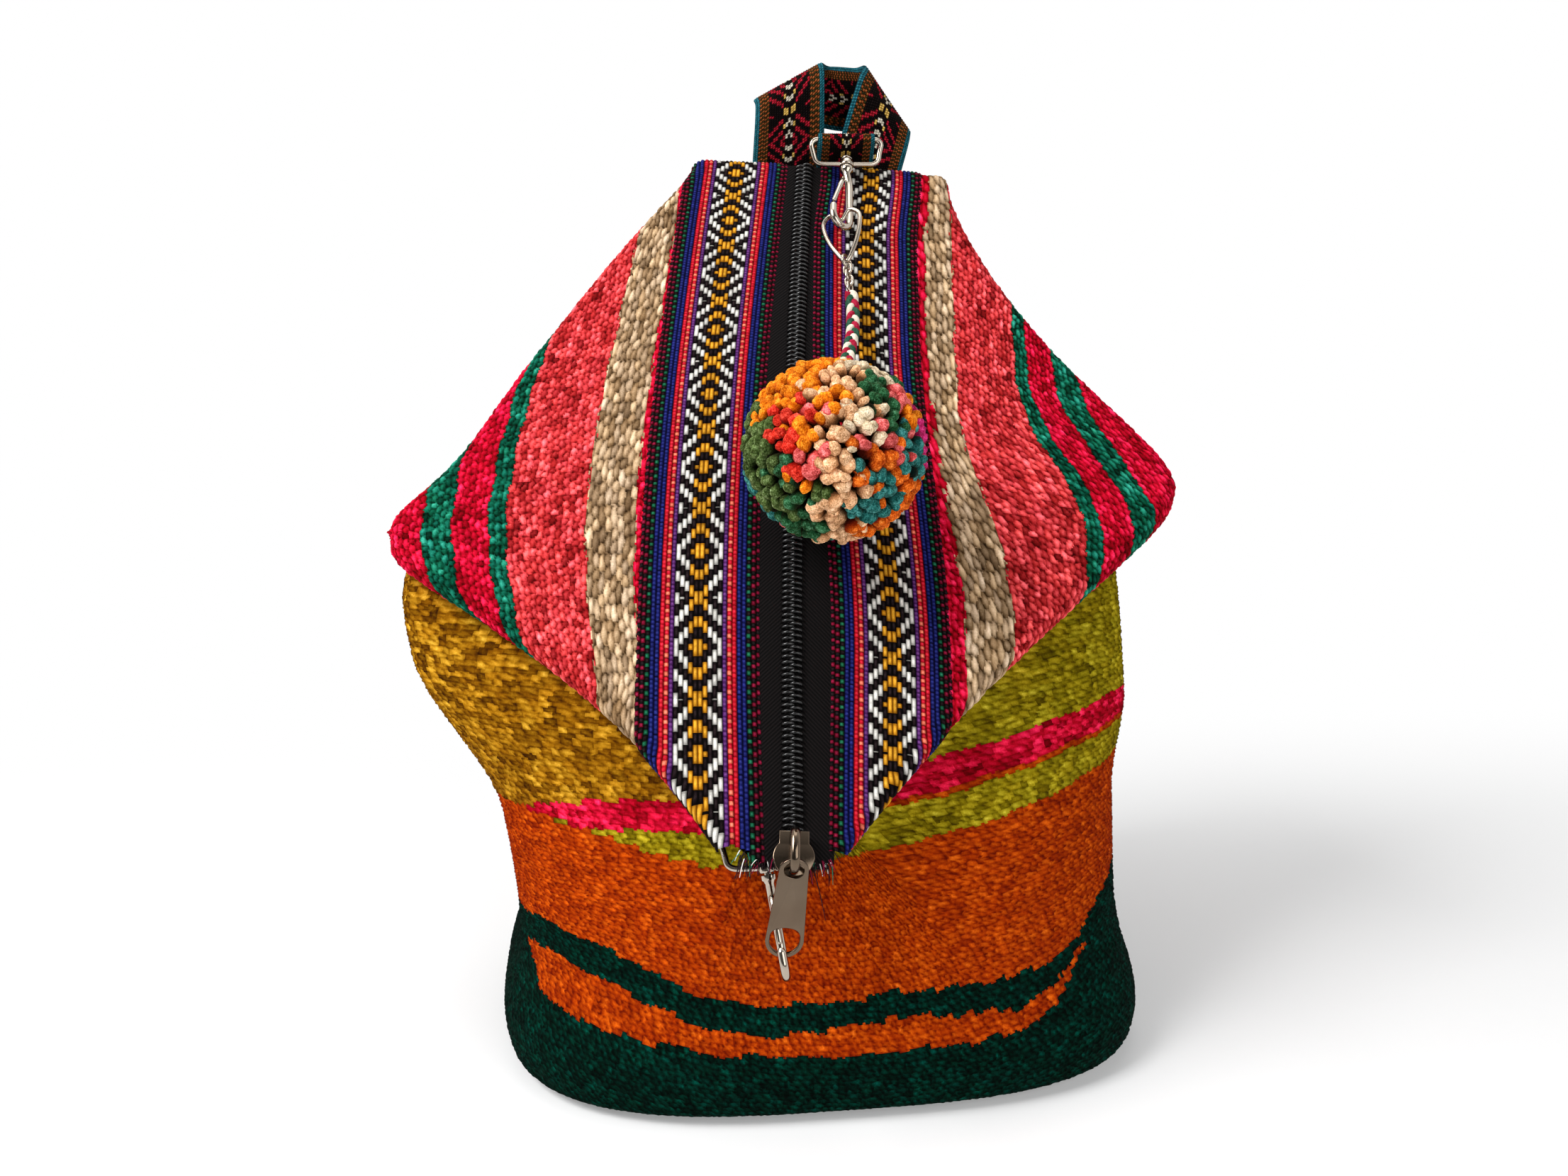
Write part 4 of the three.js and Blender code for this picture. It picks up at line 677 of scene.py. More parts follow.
def wall_top(angle):
    """Where the wall above a base angle meets the flap's underside."""
    s, t = edge_over(angle)
    under = TIP_TUCK + s * (1 - TIP_TUCK / FLAP_LENGTH)
    reach = np.where(t < 0, tucked_half(under, -1), tucked_half(under, 1))
    return flap(under, t * reach, -2 * lip_radius(under))


def outline(angle, grow):
    """The base's rounded outline, a superellipse grown outward and turned a little under the flap."""
    power = 2 / SQUARENESS
    cos, sin = np.cos(np.radians(angle)), np.sin(np.radians(angle))
    x = (BASE_WIDTH / 2 + grow) * np.sign(cos) * np.abs(cos) ** power
    y = (BASE_DEPTH / 2 + grow) * np.sign(sin) * np.abs(sin) ** power
    turn_cos, turn_sin = math.cos(BASE_TURN), math.sin(BASE_TURN)
    return x * turn_cos - y * turn_sin, x * turn_sin + y * turn_cos


def hem_bulge(z):
    """How far the hem stands out at a height: a bell curve."""
    return HEM_BULGE * np.exp(-((z - HEM_HEIGHT) / HEM_SPAN) ** 2)


def wall(angle, z, top):
    """Wall point above a base angle at height z: the outline with the hem's bulge and the turned bottom
    edge, drawn in towards `top` by a power of the rise, and pushed out where the sides sag."""
    turn = np.clip(1 - (z - SHELL_BOTTOM) / EDGE_RADIUS, 0, 1)
    x, y = outline(angle, hem_bulge(z) - WAIST - EDGE_RADIUS * (1 - np.sqrt(1 - turn * turn)))
    rise = np.clip((z - SHELL_BOTTOM) / (top[..., 2] - SHELL_BOTTOM), 0, 1)
    sideways = np.cos(np.radians(angle))
    left, right = (deep * smooth(z, SAG_FOLD, SAG_FOLD + span) * (1 - rise ** hold)
                   for deep, span, hold in (LEFT_SAG, RIGHT_SAG))
    pull = rise ** TOP_BLEND
    x = x + (top[..., 0] - x) * pull + np.where(sideways < 0, left, right) * sideways * np.abs(sideways)
    return np.stack([x, y + (top[..., 1] - y) * pull, z + 0 * x], axis=-1)


def girth():
    """Base angles, and the run round the outline to each of them from the middle of the front."""
    angle = np.linspace(-180, 180, 7201)
    x, y = outline(angle, 0.0)
    run = np.concatenate([[0], np.cumsum(np.hypot(np.diff(x), np.diff(y)))])
    return angle, run - np.interp(-90, angle, run)


def lifted(angle, level):
    """Height on the wall of a row woven at a level. Rows lift towards the corners, most of all at the base,
    and less from half way up. The lift depends on the height, so it is found in a few rounds."""
    corner = np.abs(np.cos(np.radians(angle)))
    right = smooth(np.cos(np.radians(angle)), -0.3, 0.3)
    base = (BASE_LIFT[0] + BASE_LIFT[1] * right) * corner ** 1.25
    upper = (UPPER_LIFT[0] * right - UPPER_LIFT[1] * (1 - right)) * corner ** 2
    z = level + 0 * angle
    for _ in range(12):
        z = level + base + (upper - base) * smooth(z, *LIFT_FADES)
    return z


def wall_dye(angle, level, z, top, pick):
    """Number of the dye of a nub. The green hem and the narrow green stripe wander and run together at the
    corners. On the left the sagging side hides the narrow stripes under its fold, behind the bag mustard
    passes into olive nub by nub, and the flap's stripes come down from the top edge."""
    number = numbered(WOOL)
    leftward = -np.cos(np.radians(angle))
    dye = stripe_of(level, WALL_STRIPES)
    hem, low, high = (np.interp(leftward, HEM_TURN, edges) for edges in HEM_EDGES)
    dye = np.where((level < hem) | ((level > low) & (level < high)), number["green"], dye)
    turned = np.where(angle > 90, angle - 360, angle)
    orange_top, olive_top, crimson_top = (np.interp(turned, LEFT_FOLD, tops) for tops in LEFT_TOPS)
    shown = np.where(level < crimson_top, number["crimson"], number["mustard"])
    shown = np.where(level < olive_top, number["olive"], shown)
    shown = np.where(level < orange_top, number["orange"], shown)
    in_fold = (level > FOLD_LEVELS[0]) & (level < FOLD_LEVELS[1]) & (turned < -90)
    dye = np.where(in_fold, shown, dye)
    blend = np.where(angle > 0, 1.2 * (pick - 0.5), -0.1)
    dye = np.where((dye == number["mustard"]) & (leftward < blend), number["olive"], dye)
    behind = top[..., 2] - z + np.interp(angle, BACK_ANGLES, BACK_TOPS)
    from_flap = (angle > 0) & (behind < BACK_REACH) & (z > BACK_FROM)
    return np.where(from_flap, stripe_of(behind, FLAP_STRIPES), dye)


def body_cloth(name, low, high, step):
    """A stretch of wall between two base angles: columns a share of a nub apart round the base, rows a
    third of a nub apart, from a hem turned in underneath up to the flap."""
    angles, runs = girth()
    run = np.arange(np.interp(low, angles, runs), np.interp(high, angles, runs) + step, step)
    angle = np.interp(run, runs, angles)
    top = wall_top(angle)
    levels = np.arange(LOWEST_LEVEL, top[:, 2].max() + 2, WALL_NUB[1] / 3)
    u, level = np.meshgrid(run, levels)
    wide_angle = np.broadcast_to(angle, u.shape)
    z = lifted(wide_angle, level)
    standing = np.clip(z, SHELL_BOTTOM, top[:, 2])
    place = wall(wide_angle, standing, np.broadcast_to(top, (*z.shape, 3)))
    turned = np.clip(SHELL_BOTTOM - z, 0, HEM_TURN_IN)
    x, y = outline(wide_angle, -WAIST - EDGE_RADIUS)
    inner_x, inner_y = outline(wide_angle, -WAIST - EDGE_RADIUS - turned)
    place = place + np.stack([inner_x - x, inner_y - y, 0 * x], axis=-1)
    crest = pillow(u, level, WALL_NUB)
    relief = NUB_HEIGHT * crest * smooth(z, SHELL_BOTTOM - 1, SHELL_BOTTOM + 3)
    place = place - normals(place) * relief[..., None]
    mid_u, mid_level, mid_z = middles(u, level, z)
    row, number, across, _ = nub(mid_u, mid_level, WALL_NUB)
    own_angle = np.interp(mid_u - across * WALL_NUB[0], runs, angles)
    own_level = (row + 0.5) * WALL_NUB[1]
    dye = wall_dye(own_angle, own_level, mid_z, wall_top(own_angle), chance(row, number, 8.0))
    keep = (mid_z < np.interp(mid_u, run, top[:, 2])) & (mid_z > SHELL_BOTTOM - HEM_TURN_IN)
    sheet(
        "body_cloth_" + name, place, (u, level), 1, wall_wool, "bag_shell",
        keep, dyed(dye, row, number), crest,
    )


wall_wool = yarn_finish("striped_wool_wall", 0.0007, 0.0005, groove=0.3)
for wall_name, wall_low, wall_high, wall_share in WALL_PIECES:
    body_cloth(wall_name, wall_low, wall_high, WALL_NUB[0] / wall_share)

# Base panel
# A flat panel of dark green wool sewn under the tube, which the bag stands on.
PANEL_THICKNESS, PANEL_INSET, PANEL_BEVEL = 2.5, 9.0, 0.8


def base_panel():
    """Rings of the base's outline: in to the middle under and over a rounded edge."""
    grow = hem_bulge(SHELL_BOTTOM) - WAIST - EDGE_RADIUS - PANEL_INSET
    turn = np.linspace(-np.pi / 2, np.pi / 2, 7)
    inset = np.concatenate([[-60, -30], PANEL_BEVEL * (np.cos(turn) - 1), [-30, -60]])
    height = np.concatenate([[0, 0], PANEL_THICKNESS / 2 * (1 + np.sin(turn)), [PANEL_THICKNESS] * 2])
    angle = np.linspace(-180, 180, 240, endpoint=False)
    x, y = outline(angle[None], grow + inset[:, None])
    points = np.stack([x, y, np.broadcast_to(height[:, None], x.shape)], axis=-1)
    middle = np.array([[1e-3, 1e-3, 1.0]])
    points = np.concatenate([points[:1] * middle, points, points[-1:] * middle])
    quads = grid_quads(*points.shape[:2], True)[:, ::-1]
    colour = np.broadcast_to(linear(WOOL["green"]), (len(quads), 3))
    flat = points.reshape(-1, 3)
    piece("base_panel_cloth", flat, quads, "bag", panel_wool, ["base_panel"], colour)


panel_wool = yarn_finish("green_wool_felt", 0.0012, 0.0006)
base_panel()

# Woven bands
# Two warp-faced cotton bands sewn along the zip, with a black middle of stepped diamonds and crosses
# between stripes of dotted threads. They fold under with the flap and end in cut threads at its tip.
PANEL_COLUMNS = 5
BAND_ROWS, ROW_STEP = (-30, 200), 0.24
MOTIF_ROWS = 20
MOTIF_START = {-1: (34.6, 39.5, 0.92), 1: (54.9, 34.2, 0.37)}
FLOAT_ROWS, FLOAT_SLANT, FIRST_FLOAT = 2.3, 1.1, 5.65
BEAD_ROWS = 0.9
BAND_LIFT, BAND_RAISE, THREAD_RAISE = 0.15, 1.1, 0.5
BAND_TIP, TIP_SLOPE, TIP_FROM, TIP_FRAY = -4.5, 0.55, 8, 2.5
BAND_TURN_IN, BAND_OVER_TOP = 8.0, 12.0
COTTON = {
    "black": (22, 14, 16), "white": (232, 228, 220), "amber": (222, 152, 34), "purple": (92, 44, 110),
    "red": (206, 26, 44), "salmon": (248, 120, 92), "navy": (28, 34, 104), "bottle": (22, 92, 62),
    "maroon": (120, 14, 42),
}


def band_row_place(row, side):
    """How far up the zip a weft row of the band lies: rows close up as the flap leans back."""
    start, first, closing = MOTIF_START[side]
    period = row / MOTIF_ROWS
    return start + first * period - closing * period ** 2


def panel_float(thread, row):
    """Number of the float of the black middle at a place, and where in it from -0.5 to 0.5. Floats are set
    back from column to column, mirrored about the motif's middle, so one number draws a diamond or a
    cross."""
    from_middle = np.abs(np.mod(row + MOTIF_ROWS / 2, MOTIF_ROWS) - MOTIF_ROWS / 2)
    run = (from_middle + FLOAT_SLANT * np.abs(thread) - FIRST_FLOAT) / FLOAT_ROWS
    return np.round(run), run - np.round(run)


def bead(thread, row):
    """Number of the bead at a place of the plain stripes, and where in it, neighbours half a bead apart."""
    run = row / BEAD_ROWS + 0.5 * np.mod(np.floor(np.abs(thread)), 2)
    return np.floor(run), run - np.floor(run) - 0.5


def band_cotton(thread, row):
    """Which cotton shows: a black middle with white and amber diamonds and crosses, then purple, red with
    salmon beads, navy, bottle green beads and maroon beads on black."""
    a = np.abs(thread)
    number = numbered(COTTON)
    drawn, _ = panel_float(thread, row)
    spot = np.mod(bead(thread, row)[0], 2) < 1
    pale = np.where(a > 2, number["white"], number["amber"])
    shown = np.where((drawn == 0) | (drawn == 2), pale, number["black"])
    shown = np.where((drawn == 4) & (a > 3), number["white"], shown)
    shown = np.where((drawn == -2) & (a < 2), number["amber"], shown)
    for column, dark, light in (
        (PANEL_COLUMNS, "purple", "purple"), (6, "red", "salmon"), (7, "red", "red"), (8, "navy", "navy"),
        (10, "black", "bottle"), (11, "black", "maroon"),
    ):
        shown = np.where(a > column, np.where(spot, number[light], number[dark]), shown)
    return shown


def woven_colour(palette, shown, thread, row, spread=0.26):
    """Linear colour of each float of thread, lighter or darker by its own chance."""
    base = linear(list(palette.values()))[shown]
    return base * (1 + spread * (2 * chance(thread, row, 4.0) - 1))[..., None]


def float_crest(along, across):
    """Height of a float of thread: the root of two half waves' product."""
    return np.sqrt(np.maximum(np.cos(np.pi * along) * np.cos(np.pi * across), 0))


def band(side, hand):
    """A strip of floats: three points across each thread and a few along each float. The strip drops to the
    cloth at both edges, and each thread is cut at its own place at the tip."""
    threads = np.linspace(-BAND_COLUMNS, BAND_COLUMNS, 6 * BAND_COLUMNS + 1)
    row, across = np.meshgrid(np.arange(*BAND_ROWS, ROW_STEP), threads, indexing="ij")
    s = band_row_place(row, side)
    w = band_middle(s, side) + across * THREAD
    thread = np.floor(np.clip(across, -BAND_COLUMNS, BAND_COLUMNS - 0.01)) + 0.5
    along = np.where(np.abs(thread) < PANEL_COLUMNS, panel_float(thread, row)[1], bead(thread, row)[1])
    crest = float_crest(along, across - thread)
    edge = 1 - (np.abs(across) / BAND_COLUMNS) ** 16
    over_top = smooth(s, FLAP_LENGTH + 4, FLAP_LENGTH + 9)
    raised = BAND_LIFT + BAND_RAISE * edge * (1 - 0.8 * over_top) + THREAD_RAISE * crest
    place, past = folded(s, w, side, raised)
    mid_row, mid_across, mid_s, mid_past = middles(row, across, s, past)
    own_thread = np.floor(mid_across) + 0.5
    in_panel = np.abs(own_thread) < PANEL_COLUMNS
    own_float = panel_float(own_thread, mid_row)[0] + np.round(mid_row / MOTIF_ROWS) * 9
    own = np.where(in_panel, own_float, bead(own_thread, mid_row)[0])
    colour = woven_colour(COTTON, band_cotton(own_thread, mid_row), own_thread, own)
    from_zip = band_middle(mid_s, side) + own_thread * THREAD
    tip = BAND_TIP + TIP_SLOPE * np.clip(from_zip - TIP_FROM, 0, 12)
    tip = tip + TIP_FRAY * chance(own_thread, side, 5.0)
    keep = (mid_past < np.pi * lip_radius(mid_s) + BAND_TURN_IN) & (mid_s > tip)
    keep = keep & (mid_s < FLAP_LENGTH + BAND_OVER_TOP)
    sheet(
        f"band_{hand}_weave", place, (s, w), side, cotton, "band_" + hand,
        keep, colour, crest,
    )


cotton = yarn_finish("patterned_band_cotton", 0.0004, 0.0002, fuzz=0.03, groove=0.12)
for band_side, band_hand in HANDS:
    band(band_side, band_hand)

# Zip
# Black twill tape under the bands' edges, with a nylon coil sewn down its middle: two rows of bent loops
# whose heads lock between each other.
ZIP_BOW, ZIP_BOW_SPAN = 3.3, 1.15
COIL_START, COIL_HALF, COIL_PITCH, COIL_RISE = 8.0, 3.4, 2.2, 2.2
TAPE_RAISE, TAPE_FALL, TAPE_STEP = 0.9, 0.3, 1.2
LOOP_REACH = np.array([1.0, 0.98, 0.85, 0.5, 0.15, -0.1, -0.18]) * COIL_HALF
LOOP_RISE = np.array([0.0, 0.45, 0.8, 1.0, 0.95, 0.7, 0.3]) * COIL_RISE
LOOP_DRIFT = np.array([-0.12, -0.1, -0.06, 0.0, 0.04, 0.06, 0.06]) * COIL_PITCH
LOOP_WIRE = np.array([0.42, 0.48, 0.5, 0.5, 0.56, 0.62, 0.45])


def zip_line(s):
    """Where the zip runs across the flap: a shallow bow to the left, a sine past its crest at the top."""
    return -ZIP_BOW * np.sin(np.pi * s / (ZIP_BOW_SPAN * FLAP_LENGTH))


def between(start, value, low, high, dark, light):
    """A colour from dark, where a value is low, to light, where it is high."""
    share = start.node("ShaderNodeMapRange", {}, {"Value": value, "From Min": low, "From Max": high})
    return start.node("ShaderNodeMix", {"data_type": "RGBA"}, {
        "Factor": share, 6: (*dark, 1), 7: (*light, 1),
    }, output=2)


def tape_finish():
    """Black twill: fine slanting ribs across the tape's own map, with painted shade between the ribs and a
    little lint.
    """
    material, start = new_finish("zip_tape_twill")
    place = start.node("ShaderNodeUVMap", {"uv_map": "weave"})
    slant = {"bands_direction": "DIAGONAL"}
    ribs = start.node("ShaderNodeTexWave", slant, {"Vector": place, "Scale": 420.0})
    lint = start.node("ShaderNodeTexNoise", {}, {"Vector": place, "Scale": 900.0, "Detail": 3})
    # Painted shade between the ribs, lighter on their tops, mixed with the lint's random tone.
    rib_shade_and_lint = 0.7 * ribs + 0.3 * lint
    raised = start.node("ShaderNodeBump", {}, {"Height": ribs, "Strength": 0.5, "Distance": 0.0003})
    start.finish({
        "Base Color": between(start, rib_shade_and_lint, 0.2, 0.9, (0.0012, 0.001, 0.001), (0.008, 0.006, 0.006)),
        "Roughness": 0.8 + 0.15 * lint, "Normal": raised, "Specular IOR Level": 0.08,
    })
    return material


def zip_tape(side, hand):
    """A strip from the zip's line out under the band, raised a little and falling away at its edge."""
    up_zip = np.arange(-1, FLAP_LENGTH + 10, TAPE_STEP)
    s, share = np.meshgrid(up_zip, np.linspace(0, 1, 13), indexing="ij")
    outer = band_middle(s, side) - (BAND_COLUMNS - 1.2) * THREAD
    w = side * zip_line(s) + share * (outer - side * zip_line(s))
    place, _ = folded(s, w, side, TAPE_RAISE - TAPE_FALL * share ** 4)
    sheet(f"zip_tape_{hand}_twill", place, (s, w), side, twill, "zip_tape_" + hand)


def nylon_finish():
    """Black nylon, smooth enough to catch a line of light on each loop."""
    material, start = new_finish("zip_coil_nylon")
    scuff = start.noise(700.0, 2)
    start.finish({
        "Base Color": between(start, scuff, 0.3, 0.8, (0.002, 0.002, 0.002), (0.008, 0.007, 0.007)),
        "Roughness": 0.2 + 0.15 * scuff, "Specular IOR Level": 0.6,
    })
    return material


def zip_coil(side, hand):
    """Loops a pitch apart: each rises from the tape, runs over towards the middle as a thickened head past
    the zip's line, and turns down into the other row's gap."""
    first = COIL_START + (COIL_PITCH / 2 if side > 0 else 0)
    along = np.arange(first, FLAP_LENGTH + 2, COIL_PITCH)[:, None] + LOOP_DRIFT
    w = side * zip_line(along) + LOOP_REACH
    paths = flap(along, side * w, TAPE_RAISE - TAPE_FALL + LOOP_RISE)
    points, quads = tubes(paths, LOOP_WIRE, 8, ALONG)
    piece(f"zip_coil_{hand}_loops", points, quads, "bag", nylon, ["zip_coil_" + hand])


twill = tape_finish()
nylon = nylon_finish()
for zip_part in (zip_tape, zip_coil):
    for zip_side, zip_hand in HANDS:
        zip_part(zip_side, zip_hand)

# Tip lining and cut threads
# Black cotton lines the flap. It comes round the tip, where the bands' warp threads are cut and fray.
LINING_START, LINING_REACH, LINING_STEP = -8, 120.0, 1.0
LINING_INSET, LINING_HALF, LINING_SPREAD = 3, 12, 1.2
FRAY_COUNT, FRAY_STEPS, FRAY_WIRE = 110, 6, 0.2
FRAY_SPANS, FRAY_START, FRAY_FAN = ((-17.5, -5), (5, 13)), (-2.5, 3), 40
FRAY_LENGTHS, LONGEST_FRAY = (1.5, 4.8), 13.0
FRAY_DROOP, FRAY_SQUARE = (0, 0.05, 0.45), (0.31, 0.2, 0.93)
FRAY_COTTON = ("black", "black", "black", "white", "black", "bottle", "maroon", "black")


def flap_lining():
    """Rows from the top of the tip, round its lip and back under the flap, with columns between the
    creases."""
    turned = np.pi * LIP_TIP
    run = np.arange(LINING_START, turned + LINING_REACH, LINING_STEP)
    q, share = np.meshgrid(run, np.linspace(-1, 1, 41), indexing="ij")
    turn = np.clip(q / LIP_TIP, 0, np.pi)
    s = np.maximum(q - turned, 0) + np.maximum(-q, 0)
    half = np.where(share < 0, flap_half(s, -1), flap_half(s, 1))
    half = half - LINING_INSET * smooth(q, turned, turned + 30)
    half = np.minimum(half, LINING_HALF + np.maximum(s, 0) * LINING_SPREAD)
    place = flap(s, share * half, LIP_TIP * (np.cos(turn) - 1) + 0.25 * np.cos(turn))
    place = place - ALONG * (LIP_TIP * np.sin(turn))[..., None]
    sheet("flap_lining", place, (q, share * half), 1, twill, "bag_shell")


def cut_threads():
    """Thin ends of thread that start on the tip's edge and fan out over it, drooping as they go."""
    draw = np.random.default_rng(11)
    c = np.concatenate([draw.uniform(*span, FRAY_COUNT // 2) for span in FRAY_SPANS])
    start = flap(draw.uniform(*FRAY_START, FRAY_COUNT), c, 0.4)
    length = draw.uniform(*FRAY_LENGTHS, FRAY_COUNT)
    length[-1] = LONGEST_FRAY
    lean = unit(-ALONG + ACROSS * (c / FRAY_FAN)[:, None] + draw.normal(0, 0.3, (FRAY_COUNT, 3)))
    t = np.linspace(0, 1, FRAY_STEPS)[None, :, None]
    paths = start[:, None] + length[:, None, None] * t * (lean[:, None] - t * np.array(FRAY_DROOP))
    points, quads = tubes(paths, FRAY_WIRE * np.linspace(1, 0.5, FRAY_STEPS), 6, FRAY_SQUARE)
    palette = linear([COTTON[name] for name in FRAY_COTTON])
    own = palette[draw.integers(0, len(palette), FRAY_COUNT)]
    colour = np.repeat(own, len(quads) // FRAY_COUNT, axis=0)
    nodes = ["band_left", "band_right"]
    piece("band_cut_threads", points, quads, "bag", fray, nodes, colour)


fray = yarn_finish("patterned_band_ends", 0.0004, 0.0001)
flap_lining()
cut_threads()

# Handle
# One flat woven strap, both ends sewn behind the top edge. It is folded over on the slant at each side, so
# it lies back as a loop.
HANDLE_WIDTH, HANDLE_THICKNESS, HANDLE_RISE = 29.0, 2.2, 46.0
HANDLE_FOOT, HANDLE_DEPTH, HANDLE_SHIFT = 24.0, 13.0, 8.0
HANDLE_GAP, HANDLE_FLARE, HANDLE_SEAM, HANDLE_FOLD = 1.5, 2.0, 8.0, 3.0
HANDLE_CORNERS, HANDLE_CROOK = (26.0, 20.0), 16.0
LEG_CLEARANCE, FOOT_CLEARANCE = 0.6, 0.9
RIBBON_STEPS = 800
WEB_THREADS, WEB_ROW, WEB_PERIOD, WEB_RAISE = 29, 0.95, 26, 0.25
WEB = {
    "black": (20, 12, 13), "red": (178, 30, 50), "yellow": (238, 196, 104), "white": (236, 226, 206),
    "teal": (42, 116, 130), "brown": (152, 82, 40), "olive": (52, 50, 22),
}


def wall_depth(x, z):
    """How far back the bag's back wall lies at a place across it and a height."""
    angle = np.linspace(160, 20, 281)
    back = wall(angle, z + 0 * angle, wall_top(angle))
    return float(np.interp(x, back[:, 0], back[:, 1]))


def ribbon(stations, pitch):
    """Lines from edge to edge, an even pitch apart on smooth runs through the points of station lines."""
    stations = np.asarray(stations, float)
    runs = np.stack([through(stations[:, k], RIBBON_STEPS) for k in range(stations.shape[1])], axis=1)
    run = run_along(runs.mean(axis=1))
    place = np.interp(np.arange(0, run[-1], pitch), run, np.arange(RIBBON_STEPS))
    first = np.minimum(place.astype(int), RIBBON_STEPS - 2)
    share = (place - first)[:, None, None]
    return runs[first] * (1 - share) + runs[first + 1] * share


def web_cotton(thread, row):
    """Which cotton shows: a black middle where red bars run out on the slant from each crossing, with a
    yellow pair at the crossing, white arrows and a ringed diamond half way, then dotted brown stripes and
    teal edges."""
    number = numbered(WEB)
    a = np.abs(thread - WEB_THREADS // 2)
    crossing = np.abs(np.mod(row + WEB_PERIOD / 2, WEB_PERIOD) - WEB_PERIOD / 2)
    slant = crossing - a
    bar = ((slant > -0.5) & (slant <= 1.6) | (slant > 4.6) & (slant <= 6.6)) & (a > 2)
    shown = np.where(bar | (crossing < 1) & (a > 6), number["red"], number["black"])
    shown = np.where((crossing < 2) & (a > 0) & (a <= 2), number["yellow"], shown)
    arrow = (slant > 3.4) & (slant <= 5.4) & (a <= 2)
    shown = np.where(arrow, np.where(a < 2, number["white"], number["yellow"]), shown)
    ring = WEB_PERIOD / 2 - crossing + a
    ringed = (ring > 2) & (ring <= 4.2) & (a <= 3)
    shown = np.where(ringed, np.where(a < 2, number["white"], number["red"]), shown)
    dotted = np.where(np.mod(row + thread, 2) < 1, number["brown"], number["olive"])
    shown = np.where(a >= 9, dotted, shown)
    return np.where(a >= 13, number["teal"], shown)


def webbing(node, stations, thickness, fine):
    """A closed strip: `fine` points across each thread and along each float on both faces, its edges
    thinner, with the weave's floats raised on it where there is a point in the middle of each."""
    lines = ribbon(stations, WEB_ROW / fine)
    across = np.linspace(-0.5, WEB_THREADS - 0.5, WEB_THREADS * fine + 1)
    share = (across + 0.5) / WEB_THREADS * (lines.shape[1] - 1)
    first = np.minimum(share.astype(int), lines.shape[1] - 2)
    t = (share - first)[None, :, None]
    middle = lines[:, first] * (1 - t) + lines[:, first + 1] * t
    row = (np.arange(len(lines)) / fine)[:, None]
    thread = np.floor(across + 0.5)[None]
    along = np.clip(np.mod(row + 0.5 * np.mod(thread, 2), 1) - 0.5, -0.5, 0.5)
    floats = float_crest(along, across[None] - thread)
    # Flat straps have no raised floats, so an even crest of 0.75 gives them an even share of the finish's
    # painted shade.
    crest = floats if fine > 1 else np.full(floats.shape, 0.75)
    edge = 1 - 0.6 * np.abs(2 * (across + 0.5) / WEB_THREADS - 1) ** 24
    off = normals(middle) * ((thickness / 2 - WEB_RAISE) * edge[None] + WEB_RAISE * floats)[..., None]
    place = np.concatenate([middle + off, (middle - off)[:, ::-1]], axis=1)
    shape = place.shape[:2]
    quads = ring_quads(*shape, False)
    both = np.concatenate([across, across[::-1]])
    mid_across, mid_row = (
        np.broadcast_to(values, shape).ravel()[quads].mean(axis=1) for values in (both, row)
    )
    own_thread = np.clip(np.floor(mid_across + 0.5), 0, WEB_THREADS - 1)
    own_row = np.floor(mid_row + 0.5 * np.mod(own_thread, 2))
    colour = woven_colour(WEB, web_cotton(own_thread, own_row), own_thread, own_row)
    round_crest = np.concatenate([crest, crest[:, ::-1]], axis=1).ravel()
    points = place.reshape(-1, 3)
    piece(node + "_web", points, quads, "bag", web, [node], colour, round_crest)


def handle():
    """Lines from edge to edge: from the left foot up to a slanting fold, back across, and down to the
    right."""
    left = HANDLE_SHIFT - HANDLE_WIDTH
    flared = left - HANDLE_FLARE
    right = HANDLE_SHIFT + HANDLE_GAP
    spread = right + HANDLE_WIDTH
    corner = spread + 2 * HANDLE_FOLD
    crook = right + HANDLE_CROOK
    half = HANDLE_THICKNESS / 2
    leg = LIP_TOP * (1 - OFF[1]) + LEG_CLEARANCE + half
    far = leg + HANDLE_DEPTH
    fold = (leg + far) / 2
    high, low = HANDLE_CORNERS

    def line(ax, az, bx, bz, y):
        a, b = (FLAP_TOP + ACROSS * x + np.array([0, y, z]) for x, z in ((ax, az), (bx, bz)))
        return [a, (a + b) / 2, b]

    def foot(ax, bx):
        level = FLAP_TOP[2] - HANDLE_FOOT
        depth = max(wall_depth(FLAP_TOP[0] + x, level) for x in (ax, (ax + bx) / 2, bx))
        return line(ax, -HANDLE_FOOT, bx, -HANDLE_FOOT, depth - FLAP_TOP[1] + FOOT_CLEARANCE + half)

    return [
        foot(flared, HANDLE_SHIFT),
        line(flared, -HANDLE_SEAM, HANDLE_SHIFT, -HANDLE_SEAM, leg),
        line(left, high, HANDLE_SHIFT, HANDLE_RISE - HANDLE_FOLD, leg),
        line(left, high + HANDLE_FOLD, HANDLE_SHIFT, HANDLE_RISE, fold),
        line(left + 3 * HANDLE_FOLD, high, HANDLE_SHIFT + HANDLE_FOLD, HANDLE_RISE, far),
        line(right + HANDLE_FOLD, low, right + 2 * HANDLE_FOLD, HANDLE_RISE, far),
        line(spread - 2 * HANDLE_FOLD, low, crook - HANDLE_FOLD, HANDLE_RISE, far),
        line(corner, low, crook, HANDLE_RISE, fold),
        line(corner, low - HANDLE_FOLD, crook - HANDLE_FOLD, HANDLE_RISE - 2 * HANDLE_FOLD, leg),
        line(spread, -HANDLE_SEAM, right, -HANDLE_SEAM, leg),
        foot(spread - HANDLE_FLARE, right),
    ]


web = yarn_finish("strap_webbing_cotton", 0.0004, 0.0002, fuzz=0.03, groove=0.3)
webbing("handle_strap", handle(), HANDLE_THICKNESS, 2)

